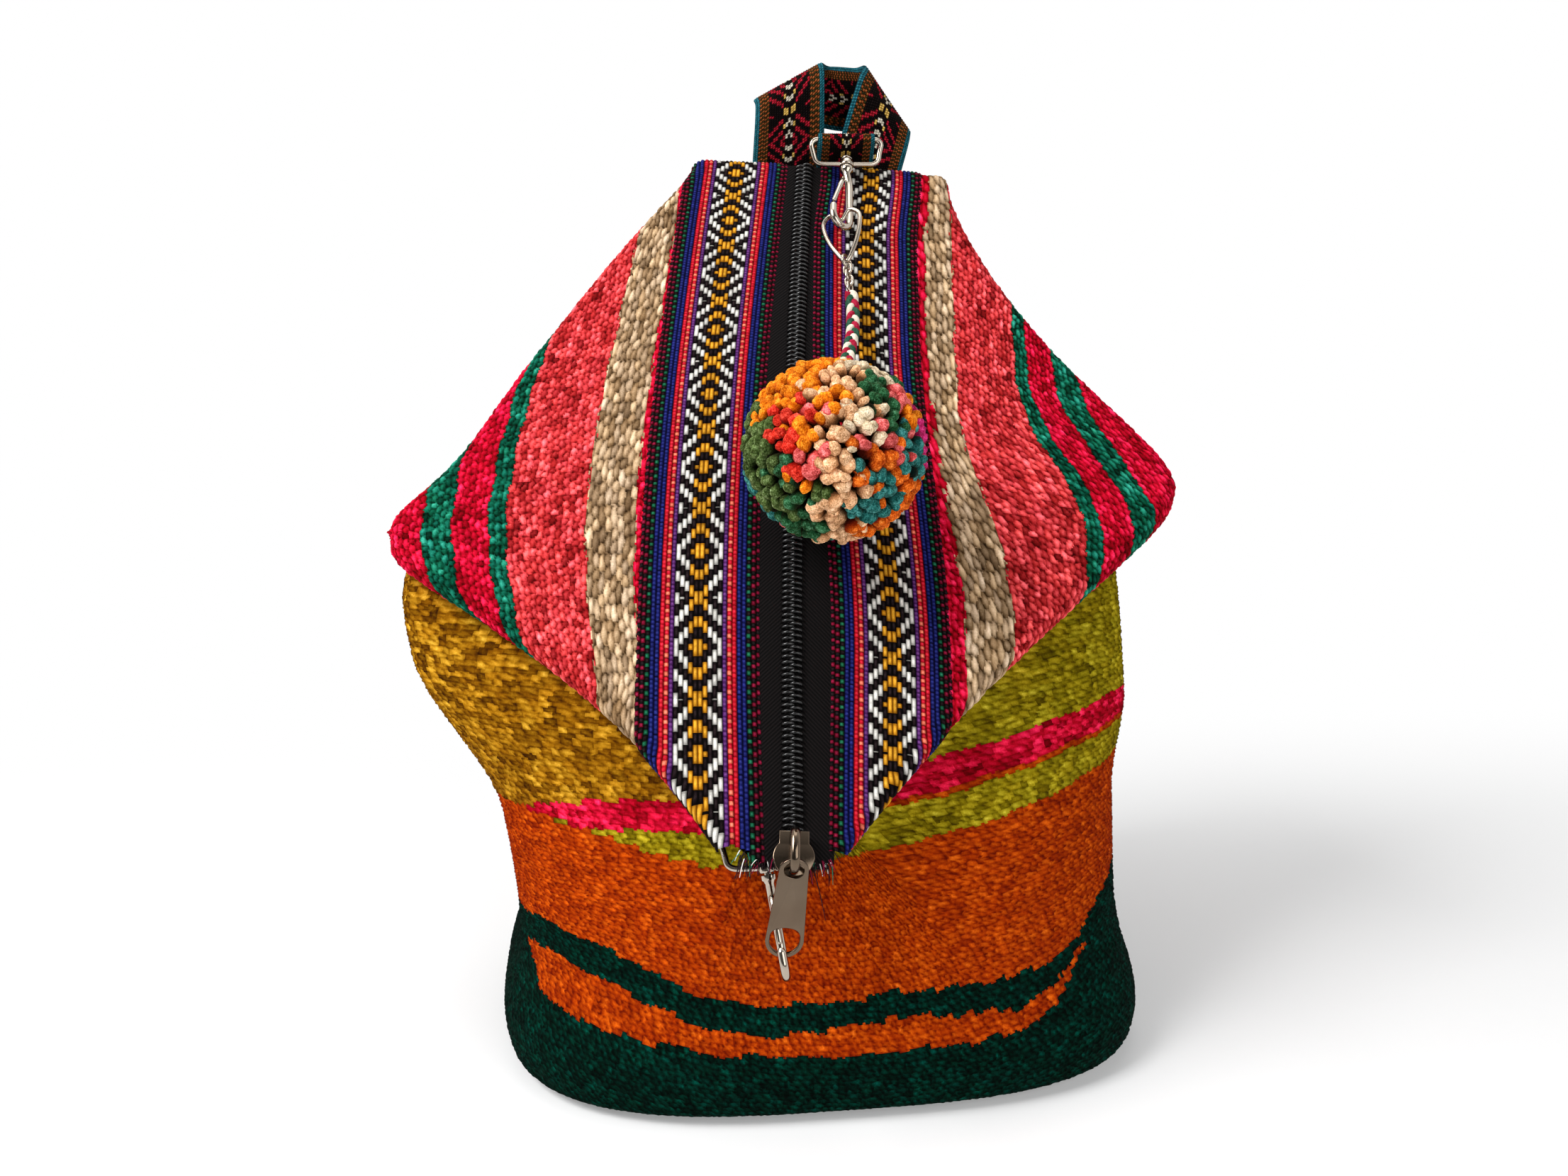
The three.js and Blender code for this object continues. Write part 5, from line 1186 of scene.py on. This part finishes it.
# Shoulder straps
# Two plain straps of the same webbing, doubled, sewn to the back under the top edge and at the base.
SHOULDER_WIDTH, SHOULDER_THICKNESS, SHOULDER_CLEARANCE = 32.0, 3.0, 1.2
SHOULDER_TOP, SHOULDER_END = (26.0, 283.5), (78.0, 26.0)
SHOULDER_BOWS = [(0, 0), (0.06, 0.6), (0.25, 23.8), (0.5, 34), (0.78, 23.8), (0.94, 1.5), (1, 0)]


def shoulder_strap(side, hand):
    """Lines across the strap, each off the back wall by its own bow."""
    stations = []
    for share, bow in SHOULDER_BOWS:
        x, z = np.array(SHOULDER_TOP) * (1 - share) + np.array(SHOULDER_END) * share
        edges = [side * x + edge * SHOULDER_WIDTH / 2 for edge in (-1, -0.33, 0.33, 1)]
        off = SHOULDER_CLEARANCE + SHOULDER_THICKNESS / 2 + bow
        stations.append([(place, wall_depth(place, z) + off, z) for place in edges])
    webbing("shoulder_strap_" + hand, stations, SHOULDER_THICKNESS, 1)


for strap_side, strap_hand in HANDS:
    shoulder_strap(strap_side, strap_hand)

# Pompom
# A ball of short cut ends of thick yarn, in patches of many dyes, tied to the charm's cord.
POMPOM_CENTRE = np.array([1.782, -48.414, 225.266])
POMPOM_RADIUS = 31.5
TUFT_COUNT = 840
TUFT_SIZE, TUFT_GRID = (2.4, 3.0), (9, 10)
HIDDEN_PATCHES = 30
POMPOM_WOOL = {
    "orange": (240, 112, 8), "peach": (238, 172, 118), "cream": (236, 208, 166), "red": (208, 30, 18),
    "moss": (58, 78, 32), "fir": (24, 72, 38), "coral": (224, 76, 74), "teal": (28, 100, 94),
    "magenta": (206, 24, 96), "rust": (220, 78, 8),
}
PATCHES = [
    ("orange", -0.45, 0.7), ("orange", -0.15, 0.5), ("orange", -0.72, 0.5), ("orange", -0.2, 0.95),
    ("peach", -0.12, 0.72), ("peach", 0.2, 0.68), ("peach", 0.24, 0.4), ("peach", 0.02, 0.2),
    ("cream", 0.5, 0.82), ("cream", 0.34, 0.25), ("peach", -0.08, 0.0), ("cream", 0.3, 0.02),
    ("peach", 0.03, -0.2), ("red", -0.52, 0.28), ("red", -0.55, 0.05), ("red", -0.52, -0.13),
    ("moss", -0.85, 0.15), ("orange", -0.36, 0.2), ("moss", -0.8, -0.15), ("fir", -0.6, -0.3),
    ("moss", -0.6, -0.6), ("fir", -0.35, -0.65), ("fir", -0.3, -0.9), ("orange", -0.3, -0.46),
    ("moss", -0.12, -0.5), ("coral", -0.22, 0.12), ("coral", -0.25, -0.13), ("coral", -0.13, -0.3),
    ("fir", 0.48, 0.58), ("fir", 0.55, 0.22), ("fir", 0.74, 0.68), ("coral", 0.72, 0.5),
    ("coral", 0.42, 0.08), ("coral", 0.64, 0.0), ("orange", 0.82, 0.38), ("magenta", 0.93, 0.22),
    ("teal", 0.8, 0.08), ("teal", 0.86, -0.18), ("rust", 0.62, -0.16), ("rust", 0.36, -0.2),
    ("teal", 0.42, -0.36), ("rust", 0.75, -0.48), ("teal", 0.57, -0.63), ("rust", 0.3, -0.55),
    ("teal", 0.2, -0.68), ("rust", 0.42, -0.85), ("peach", 0.08, -0.46), ("peach", -0.03, -0.7),
    ("peach", 0.07, -0.95),
]


def pompom():
    """Ends of yarn on a spiral of even steps round a ball. Each is a rounded peg, a sphere drawn out along
    its own leaning axis, rippled like plied yarn, and takes the dye of the patch nearest to it. Its crest
    rises from its base to its tip, so the finish paints shade at the bases between the tufts."""
    draw = np.random.default_rng(7)
    number = np.arange(TUFT_COUNT) + 0.5
    polar = np.arccos(1 - 2 * number / TUFT_COUNT)
    spin = np.pi * (1 + 5 ** 0.5) * number
    out = np.stack([np.cos(spin) * np.sin(polar), np.sin(spin) * np.sin(polar), np.cos(polar)], axis=-1)
    out = unit(out + draw.normal(0, 0.04, out.shape))
    lean = unit(out + draw.normal(0, 0.4, out.shape))
    side = unit(np.cross(lean, draw.normal(0, 1, out.shape)))
    third = np.cross(lean, side)
    size = (TUFT_SIZE[0] * draw.uniform(0.7, 1.25, TUFT_COUNT))[:, None, None]
    length = TUFT_SIZE[1] * draw.uniform(0.8, 1.3, TUFT_COUNT)
    centre = out * (POMPOM_RADIUS - length * 0.9 + draw.uniform(-0.9, 0.7, TUFT_COUNT))[:, None]

    theta = np.linspace(0.02, np.pi - 0.02, TUFT_GRID[0])[:, None]
    phi = np.linspace(0, 2 * np.pi, TUFT_GRID[1], endpoint=False)[None]
    phase = draw.uniform(0, 2 * np.pi, (2, TUFT_COUNT, 1, 1))
    ripple = 1 + 0.14 * np.sin(2 * phi + phase[0]) + 0.12 * np.sin(3 * phi + 4 * theta + phase[1])
    girth_share = np.sin(theta) ** 0.75 * ripple
    # Painted shade: the crest runs from 0 at a tuft's base to 1 near its tip, so the finish darkens the
    # bases.
    crest = np.broadcast_to(smooth(np.cos(theta), -0.5, 0.7), (TUFT_COUNT, *TUFT_GRID)).ravel()
    along = length[:, None, None] * (np.cos(theta) + 0 * phi)
    points = centre[:, None, None] + (
        (size * girth_share * np.cos(phi))[..., None] * side[:, None, None]
        + (size * girth_share * np.sin(phi))[..., None] * third[:, None, None]
        + along[..., None] * lean[:, None, None]
    )
    shift = np.arange(TUFT_COUNT)[:, None, None] * TUFT_GRID[0] * TUFT_GRID[1]
    quads = (grid_quads(*TUFT_GRID, True)[None] + shift).reshape(-1, 4)

    turn, dip = CAMERA_TURN, CAMERA_DIP
    right = np.array([math.cos(turn), math.sin(turn), 0])
    forward = np.array([-math.sin(turn) * math.cos(dip), math.cos(turn) * math.cos(dip), -math.sin(dip)])
    up = np.cross(right, forward)
    flat = np.array([(x, y) for _, x, y in PATCHES])
    depth = np.sqrt(np.maximum(1 - (flat ** 2).sum(axis=1), 0))
    shown = flat[:, :1] * right + flat[:, 1:] * up - depth[:, None] * forward
    hidden = unit(draw.normal(0, 0.7, (HIDDEN_PATCHES, 3)) + forward * 1.5)
    seeds = np.concatenate([shown, hidden])
    known = [numbered(POMPOM_WOOL)[name] for name, _, _ in PATCHES]
    dyes = np.array(known + list(draw.integers(0, len(POMPOM_WOOL), HIDDEN_PATCHES)))
    near = (out @ seeds.T + draw.normal(0, 0.02, (TUFT_COUNT, len(seeds)))).argmax(axis=1)
    colour = linear(list(POMPOM_WOOL.values()))[dyes[near]] * draw.uniform(0.65, 1.2, (TUFT_COUNT, 1))
    colour = np.repeat(colour, len(quads) // TUFT_COUNT, axis=0)
    points = POMPOM_CENTRE + points.reshape(-1, 3)
    return piece("pompom_yarn", points, quads, "charm", tuft_wool, ["pompom"], colour, crest)


tuft_wool = yarn_finish("pompom_yarn_wool", 0.0005, 0.0012, fuzz=0.1, groove=0.12, mottle=1.5)
pom = pompom()

# Slider and pull
# A pressed nickel slider with a bail over it, and a flat pull that hangs on the bail by its slot. The
# arched hole at the pull's foot takes the lower snap hook.
SLIDER_SIZE = (13.6, 15.0, 1.6)
SHIELD = (0.72, 0.45, 0.2, 0.8)
PLATE_TOP, PLATE_EDGE = 5.6, 0.3
FLANGE, FLANGE_SUNK = (1.1, 6.75, 2.6), 0.4
BAIL_FOOT, BAIL_RISE, BAIL_CORNER = 6.2, 9.0, 2.5
BAIL_SECTION, BAIL_STEPS = (1.5, 0.95), 48
PULL_LENGTH, PULL_THICKNESS, PULL_RIM = 36.0, 1.3, 1.4
PULL_HALVES, PULL_HOLES, PULL_STAND = (4.7, 6.3), (2.7, 9.5), 2.8
PULL_LEAN, PULL_SLANT = math.radians(96), math.radians(-6.5)
PULL_HEAD = PULL_HOLES[0] + PULL_RIM
PULL_FOOT = PULL_LENGTH - PULL_HEAD
PULL_ORIGIN = FLAP_TIP - ALONG * BAIL_FOOT + OFF * (PLATE_TOP + PULL_STAND)
PULL_HANG = np.array([0, math.cos(PULL_LEAN), math.sin(PULL_LEAN)])
PULL_X = math.cos(PULL_SLANT) * np.array(X_AXIS) + math.sin(PULL_SLANT) * PULL_HANG
PULL_Y = -math.sin(PULL_SLANT) * np.array(X_AXIS) + math.cos(PULL_SLANT) * PULL_HANG
SHARP_ANGLE = math.radians(50)


def nickel_finish(name, dark, light):
    """Nickel, a little warm, with faint clouds from dark to light and fine wear in its gloss."""
    material, start = new_finish(name)
    start.finish({
        "Base Color": between(start, start.noise(160.0, 2), 0.0, 1.0, dark, light),
        "Metallic": 1.0, "Roughness": 0.1 + 0.1 * start.noise(1400.0, 3),
    })
    return material


def placed(points, origin, x, y):
    """Points given in a piece's own frame, moved to its origin and to the directions of its x and y."""
    return origin + points @ np.stack([x, y, np.cross(x, y)])


def bend(a, control, b, count=9):
    """A bend from a to b drawn towards a control point: a quadratic Bezier curve, less its last point."""
    t = np.linspace(0, 1, count)[:-1, None]
    a, control, b = (np.asarray(p, float) for p in (a, control, b))
    return (1 - t) ** 2 * a + 2 * t * (1 - t) * control + t * t * b


def arc(centre, wide, high, first, last, count=25):
    """Part of an ellipse of two half axes between two angles in degrees."""
    angle = np.radians(np.linspace(first, last, count))
    return np.stack([centre[0] + wide * np.cos(angle), centre[1] + high * np.sin(angle)], axis=-1)


def pressed(outlines, thickness):
    """A flat plate with softened edges, in its own frame: closed outlines, the holes among them, filled as
    a flat curve that is thickened and rounded by a bevel. Gives points and faces."""
    curve = bpy.data.curves.new("plate_outline", "CURVE")
    curve.dimensions = "2D"
    curve.fill_mode = "BOTH"
    curve.extrude = thickness / 2 - PLATE_EDGE
    curve.bevel_depth = PLATE_EDGE
    curve.bevel_resolution = 2
    curve.offset = -PLATE_EDGE
    for line in outlines:
        spline = curve.splines.new("POLY")
        spline.points.add(len(line) - 1)
        flat = np.concatenate([line, np.zeros((len(line), 1)), np.ones((len(line), 1))], axis=1)
        spline.points.foreach_set("co", flat.astype(np.float32).ravel())
        spline.use_cyclic_u = True
    holder = bpy.data.objects.new("plate_outline", curve)
    filled = bmesh.new()
    flat_mesh = bpy.data.meshes.new_from_object(holder)
    filled.from_mesh(flat_mesh)
    bmesh.ops.remove_doubles(filled, verts=filled.verts, dist=1e-4)
    bmesh.ops.recalc_face_normals(filled, faces=filled.faces)
    points = np.array([vertex.co for vertex in filled.verts])
    faces = [[vertex.index for vertex in face.verts] for face in filled.faces]
    filled.free()
    bpy.data.objects.remove(holder)
    bpy.data.curves.remove(curve)
    bpy.data.meshes.remove(flat_mesh)
    return points, faces


def metal_piece(node, parts, body, metal):
    """One metal object of several closed parts, each points and faces, in place of its CAD node."""
    mesh = bpy.data.meshes.new(node + "_nickel")
    counts = np.cumsum([0] + [len(points) for points, _ in parts])
    points = np.concatenate([points for points, _ in parts]) * MM
    faces = []
    for first, (_, own) in zip(counts, parts):
        faces += [[int(corner + first) for corner in face] for face in own]
    mesh.from_pydata(points.tolist(), [], faces)
    mesh.polygons.foreach_set("use_smooth", np.ones(len(mesh.polygons), dtype=bool))
    mesh.set_sharp_from_angle(angle=SHARP_ANGLE)
    ridden(mesh, body, metal, [node])


def zip_slider():
    """A shield of straight shoulders and swept hips, two side flanges and a bail: a flattened wire on an
    arch."""
    half, side = SLIDER_SIZE[1] / 2, SLIDER_SIZE[0] / 2
    shoulder, neck, hip, foot = np.array(SHIELD) * (side, half, half, side)
    right = np.concatenate([
        bend((shoulder, neck), (side, hip), (side, -hip)), bend((side, -hip), (foot, -half), (0, -half)),
    ])
    left = right[1:, :][::-1] * (-1, 1)
    top_edge = [(-shoulder, half), (shoulder, half)]
    shield = np.concatenate([top_edge, right, [(0, -half)], left, [(-shoulder, neck)]])
    points, faces = pressed([shield], SLIDER_SIZE[2])
    sunk = PLATE_TOP - SLIDER_SIZE[2] / 2
    parts = [(points + (0, 0, sunk), faces)]
    long, tall = FLANGE[1] / 2, FLANGE[2] / 2
    flank = np.array([(-long, -tall), (long, -tall), (long, tall), (-long, tall)])
    for edge in (-1, 1):
        points, faces = pressed([flank], FLANGE[0])
        level = PLATE_TOP - SLIDER_SIZE[2] - tall + FLANGE_SUNK
        middle = (edge * (shoulder - FLANGE[0] / 2), half / 2, level)
        parts.append((placed(points, middle, (0.0, 1.0, 0.0), Z_AXIS), faces))
    top = PLATE_TOP + BAIL_RISE - BAIL_SECTION[1]
    stations = [
        (0, BAIL_FOOT, sunk), (0, BAIL_FOOT, top - BAIL_CORNER), (0, BAIL_FOOT - BAIL_CORNER, top),
        (0, BAIL_CORNER - BAIL_FOOT, top), (0, -BAIL_FOOT, top - BAIL_CORNER), (0, -BAIL_FOOT, sunk),
    ]
    points, faces = tubes(through(stations, BAIL_STEPS)[None], BAIL_SECTION[1], 16, X_AXIS)
    parts.append((points * (BAIL_SECTION[0] / BAIL_SECTION[1], 1, 1), faces))
    parts = [(placed(points, FLAP_TIP, ACROSS, ALONG), faces) for points, faces in parts]
    metal_piece("zip_slider", parts, "bag", nickel)


def zip_pull():
    """A tapering plate with a round head and foot, an oval slot and a hole with an arched top."""
    top, foot = PULL_HALVES
    low = foot - PULL_FOOT
    plate = np.concatenate([arc((0, 0), top, PULL_HEAD, 180, 0), arc((0, low), foot, foot, 0, -180)])
    slot = arc((0, 0), top - PULL_RIM, PULL_HOLES[0], 0, 360)[:-1]
    inner = foot - PULL_RIM
    crest = low + PULL_HOLES[1] - inner
    hole = np.concatenate([
        arc((0, low), inner, inner, 180, 360), bend((inner, low + 1), (inner, crest), (0, crest)),
        bend((0, crest), (-inner, crest), (-inner, low + 1)),
    ])
    points, faces = pressed([plate, slot, hole], PULL_THICKNESS)
    metal_piece("zip_pull", [(placed(points, PULL_ORIGIN, PULL_X, PULL_Y), faces)], "pull", nickel)


# The plate's nickel is much darker than the wire's: its base colour paints a dim reflection of the room on
# the flat faces.
nickel = nickel_finish("plated_nickel_painted_dim", (0.135, 0.096, 0.066), (0.18, 0.135, 0.096))
zip_slider()
zip_pull()

# Snap hooks
# Two nickel swivel hooks, each a bent wire ring with a hub, a hook that turns in the hub and a sprung gate.
# The lower one reaches through the pull's hole, the upper one stands at the top edge and carries the charm.
RING_WIDTH, RING_DROP, RING_WIRE = 29.0, 10.3, 1.1
RING_CORNERS = (3.0, 4.0)
HUB, HUB_STEPS, HUB_SIDES = (1.6, 3.0, 3.0), 32, 24
HOOK_LENGTH, HOOK_SPREAD, HOOK_WIRE = 35.0, 9.0, 1.7
HOOK_STEPS, HOOK_TAPER = 72, 0.85
HOOK_BACK = -HOOK_SPREAD / 6
HOOK_NOSE = HOOK_BACK + HOOK_SPREAD
HOOK_MOUTH, HOOK_SHOULDER = 9.5, 8.0
COLLAR = 2.1
COLLAR_PROFILE = [
    (-3.3, 1.9), (-3.2, 2.25), (-3.0, 2.4), (-2.3, 2.4), (-2.1, 2.2), (-2.05, 1.3), (2.05, 1.3), (2.1, 2.4),
    (2.3, 2.7), (3.8, 2.7), (4.1, 2.5),
]
GATE_PROFILE = [
    (0.0, 0.3), (0.01, 0.6), (0.05, 1.0), (0.35, 1.0), (0.37, 0.85), (0.95, 0.85), (0.99, 0.6), (1.0, 0.3),
]
GATE_RADIUS, GATE_DROP, GATE_CLEARANCE = 1.1, 8.6, 0.6
RIM_FROM_BOW = 7.0
LOWER_SLANT, LOWER_LEAN, LOWER_RING_LEAN = math.radians(9), math.radians(24), math.radians(37)
UPPER_ROLL, UPPER_RING_LEAN = math.radians(40), math.radians(12)
UPPER_HUB = (FLAP_LENGTH - 1, 16.0, 7.0)


def wire_part(line, radius, sides, origin, x, y, loop=False):
    """A wire along a flat line in its own frame, moved to its place. Gives points and faces."""
    path = np.concatenate([line, np.zeros((len(line), 1))], axis=1)
    points, faces = tubes(path[None], radius, sides, Z_AXIS, loop)
    return placed(points, origin, x, y), faces


def hook_parts(origin, nose, down):
    """The hook: a collar turned about the run, then a wire that bows round in a half circle to the nose."""
    bow = HOOK_SPREAD / 2
    turn = np.radians([10, 50, 90, 130, 170])
    across = HOOK_BACK + bow - bow * np.cos(turn)
    round_bow = np.stack([across, HOOK_LENGTH - bow + bow * np.sin(turn)], axis=-1)
    shank = [(0, COLLAR + 3), (HOOK_BACK * 0.8, COLLAR + HOOK_SHOULDER), (HOOK_BACK, HOOK_LENGTH * 0.6)]
    stations = np.concatenate([shank, round_bow, [(HOOK_NOSE, HOOK_LENGTH - HOOK_MOUTH)]])
    place, collar = np.array(COLLAR_PROFILE).T
    line = np.concatenate([np.stack([0 * place, place], axis=-1), through(stations, HOOK_STEPS)])
    taper = np.linspace(1, HOOK_TAPER, HOOK_STEPS) * np.clip(np.linspace(20, 0.55, HOOK_STEPS), 0, 1)
    return [wire_part(line, np.concatenate([collar, HOOK_WIRE * taper]), 20, origin, nose, down)]


def gate_parts(origin, nose, down):
    """The gate: a straight pin, thicker by its spring, from beside the collar to the nose."""
    root = np.array([HOOK_WIRE + GATE_RADIUS + HOOK_BACK + GATE_CLEARANCE, GATE_DROP])
    end = np.array([HOOK_NOSE, HOOK_LENGTH - HOOK_MOUTH - GATE_CLEARANCE])
    end = end - unit(end - root) * GATE_RADIUS / 2
    profile = np.array(GATE_PROFILE)
    line = root + (end - root) * profile[:, :1]
    return [wire_part(line, GATE_RADIUS * profile[:, 1], 16, origin, nose, down)]


def ring_parts(bar, down, axis):
    """The ring: wire round four corners, and a hub of a rounded square section about the hook's axis."""
    half, low = RING_WIDTH / 2, RING_WIDTH / 2 - 1
    high, deep = RING_CORNERS
    loop = np.concatenate([
        bend((half - high, 0), (half, 0), (half, high)),
        bend((low, RING_DROP - deep), (low, RING_DROP), (low - deep, RING_DROP)),
        np.stack([np.linspace(low - deep, deep - low, 24)[:-1], np.full(23, RING_DROP)], axis=-1),
        bend((deep - low, RING_DROP), (-low, RING_DROP), (-low, RING_DROP - deep)),
        bend((-half, high), (-half, 0), (high - half, 0)),
    ])
    ring = wire_part(loop, RING_WIRE, 16, bar, X_AXIS, down, True)
    inner, outer, tall = HUB
    turn = np.linspace(0, 2 * np.pi, HUB_STEPS, endpoint=False)[:, None]
    corner = np.linspace(0, 2 * np.pi, HUB_SIDES, endpoint=False)
    swell = (np.abs(np.cos(corner)) ** 4 + np.abs(np.sin(corner)) ** 4) ** -0.25
    radius = (inner + outer) / 2 + (outer - inner) / 2 * np.cos(corner) * swell
    height = tall / 2 * np.sin(corner) * swell + 0 * turn
    points = np.stack([radius * np.cos(turn), height, radius * np.sin(turn)], axis=-1).reshape(-1, 3)
    side = unit(np.cross(axis, X_AXIS))
    hub = placed(points, bar + down * RING_DROP, np.cross(axis, side), axis)
    return [ring, (hub, ring_quads(HUB_STEPS, HUB_SIDES, True))]


def leaning(angle):
    """The direction down, leaning to the front by an angle."""
    return np.array([0, -math.sin(angle), -math.cos(angle)])


wire = nickel_finish("bright_wire", (0.42, 0.36, 0.29), (0.56, 0.49, 0.41))
lower_down = math.sin(LOWER_SLANT) * np.array(X_AXIS) + math.cos(LOWER_SLANT) * leaning(LOWER_LEAN)
lower_pin = unit(np.cross((0.0, -1.0, 0.0), lower_down))
lower_nose = np.cross(lower_down, lower_pin)
pull_rim = PULL_ORIGIN + PULL_Y * (PULL_RIM / 2 - PULL_FOOT)
bow_middle = HOOK_BACK + HOOK_SPREAD / 2
lower_hub = pull_rim - lower_down * (HOOK_LENGTH - RIM_FROM_BOW) - lower_nose * bow_middle
upper_hub = flap(*UPPER_HUB)
upper_nose = ACROSS * -math.cos(UPPER_ROLL) + OFF * math.sin(UPPER_ROLL)
bars = {}
for snap, hub, nose, snap_down, ring_down, ring_body in (
    ("lower", lower_hub, lower_nose, lower_down, leaning(LOWER_RING_LEAN), "lower_snap"),
    ("upper", upper_hub, upper_nose, -ALONG, leaning(UPPER_RING_LEAN), "upper_loop"),
):
    bars[snap] = hub - ring_down * RING_DROP
    metal_piece(snap + "_hook", hook_parts(hub, nose, snap_down), snap + "_snap", wire)
    metal_piece(snap + "_gate", gate_parts(hub, nose, snap_down), snap + "_gate", wire)
    metal_piece(snap + "_ring", ring_parts(bars[snap], ring_down, snap_down), ring_body, wire)

# Heart and chain
# A heart of bent nickel wire on the upper hook, with a small ring and four links of chain down to the cord.
HEART_SIZE, HEART_WIRE, HEART_CLEARANCE = (17.5, 25.0), 0.9, 0.3
HEART_SHAPE = [(0.5, -0.16), (0.95, -0.048), (0.92, 0.22), (0.5, 0.6)]
HEART_STEPS = 12
HEART_ROLL, LINK_ROLL = 25, 40
SMALL_RING, LINK, LINK_SLACK = (6.0, 6.0, 0.65), (3.2, 4.6, 0.6), 0.4
CHARM_DRIFT = math.radians(6)


def wire_loop(line, thick, origin, roll):
    """A closed loop of round wire in the plane of the charm's run and the direction across it, rolled about
    the run by an angle in degrees from lying flat."""
    rolled = charm_across * math.cos(math.radians(roll)) + OFF * math.sin(math.radians(roll))
    return [wire_part(line, thick, 14, origin, rolled, charm_down, True)]


def heart_outline():
    """A smooth closed run from the dip over one lobe to the foot, and back over the other lobe."""
    half = HEART_SIZE[0] / 2 - HEART_WIRE
    lobe = np.array(HEART_SHAPE) * (half, HEART_SIZE[1])
    foot = HEART_SIZE[1] * (1 + HEART_SHAPE[0][1])
    around = np.concatenate([[(0, 0)], lobe, [(0, foot)], (lobe * (-1, 1))[::-1]])
    count = len(around)
    run = through(np.concatenate([around[-2:], around, around[:3]]), (count + 4) * HEART_STEPS + 1)
    return run[2 * HEART_STEPS:(count + 2) * HEART_STEPS], foot


def oval(width, length):
    """Two half circles joined by straight sides, with the top at zero."""
    half = width / 2
    ends = ((length - half, 0), (half, 180))
    return np.concatenate([arc((0, place), half, half, start, start + 180, 13) for place, start in ends])


charm_down = -ALONG * math.cos(CHARM_DRIFT) + ACROSS * math.sin(CHARM_DRIFT)
charm_across = unit(np.cross(OFF, charm_down))
heart_drop = HOOK_LENGTH - HOOK_WIRE - HEART_WIRE - HEART_CLEARANCE
heart_top = upper_hub - ALONG * heart_drop + upper_nose * bow_middle
heart_line, heart_foot = heart_outline()
metal_piece("heart_ring", wire_loop(heart_line, HEART_WIRE, heart_top, HEART_ROLL), "heart", wire)
chain_start = heart_top + charm_down * (heart_foot - HEART_WIRE - SMALL_RING[2] - 2.4 * LINK_SLACK)
small_loop = wire_loop(oval(*SMALL_RING[:2])[1:], SMALL_RING[2], chain_start, LINK_ROLL - 90)
metal_piece("small_ring", small_loop, "charm", wire)
link_top = chain_start + charm_down * (SMALL_RING[1] - SMALL_RING[2] - LINK[2] - LINK_SLACK)
for link_number in range(4):
    link_place = link_top + charm_down * link_number * (LINK[1] - 2 * LINK[2] - LINK_SLACK)
    link_loop = wire_loop(oval(*LINK[:2]), LINK[2], link_place, LINK_ROLL - 90 * (link_number % 2))
    metal_piece(f"chain_link_{link_number + 1}", link_loop, "charm", wire)

# Ring tabs
# A short length of webbing folded round the bar of each ring, both ends in one seam: under the flap for the
# lower ring, at the top edge for the upper one.
TAB_PLY, TAB_SPREAD = 1.2, 0.55
TAB_TURN = RING_WIRE + 0.3 + TAB_PLY / 2
UPPER_TAB, LOWER_TAB = (23.5, 0.6, 1.5), (17.0, 5.2, 1.0)


def ring_tab(snap, start, width, behind, above):
    """Lines along the bar: in from the seam, round the bar in a half circle, and back to the seam, which
    lies behind and above a starting point."""
    bar = bars[snap]
    seam = start + np.array([0, behind, above])
    back = unit((seam - bar) * (0, 1, 1))
    face = np.cross(X_AXIS, back)
    turn = np.radians([90, 135, 180, 225, 270])[:, None]
    bent = bar + TAB_TURN * (back * np.cos(turn) + face * np.sin(turn))
    run = np.concatenate([[seam + face * TAB_PLY * TAB_SPREAD], bent, [seam - face * TAB_PLY * TAB_SPREAD]])
    run[:, 0] = bar[0]
    stations = [[middle + (edge * width / 2, 0, 0) for edge in (-1, 1)] for middle in run]
    webbing(snap + "_tab", stations, TAB_PLY, 2)


lip_share = 0.5 ** 0.5
top_edge = flap(FLAP_LENGTH, UPPER_HUB[1]) + ALONG * LIP_TOP * lip_share + OFF * LIP_TOP * (lip_share - 1)
ring_tab("upper", top_edge, *UPPER_TAB)
ring_tab("lower", bars["lower"], *LOWER_TAB)

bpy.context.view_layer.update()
(cord_line * MM).tolist()
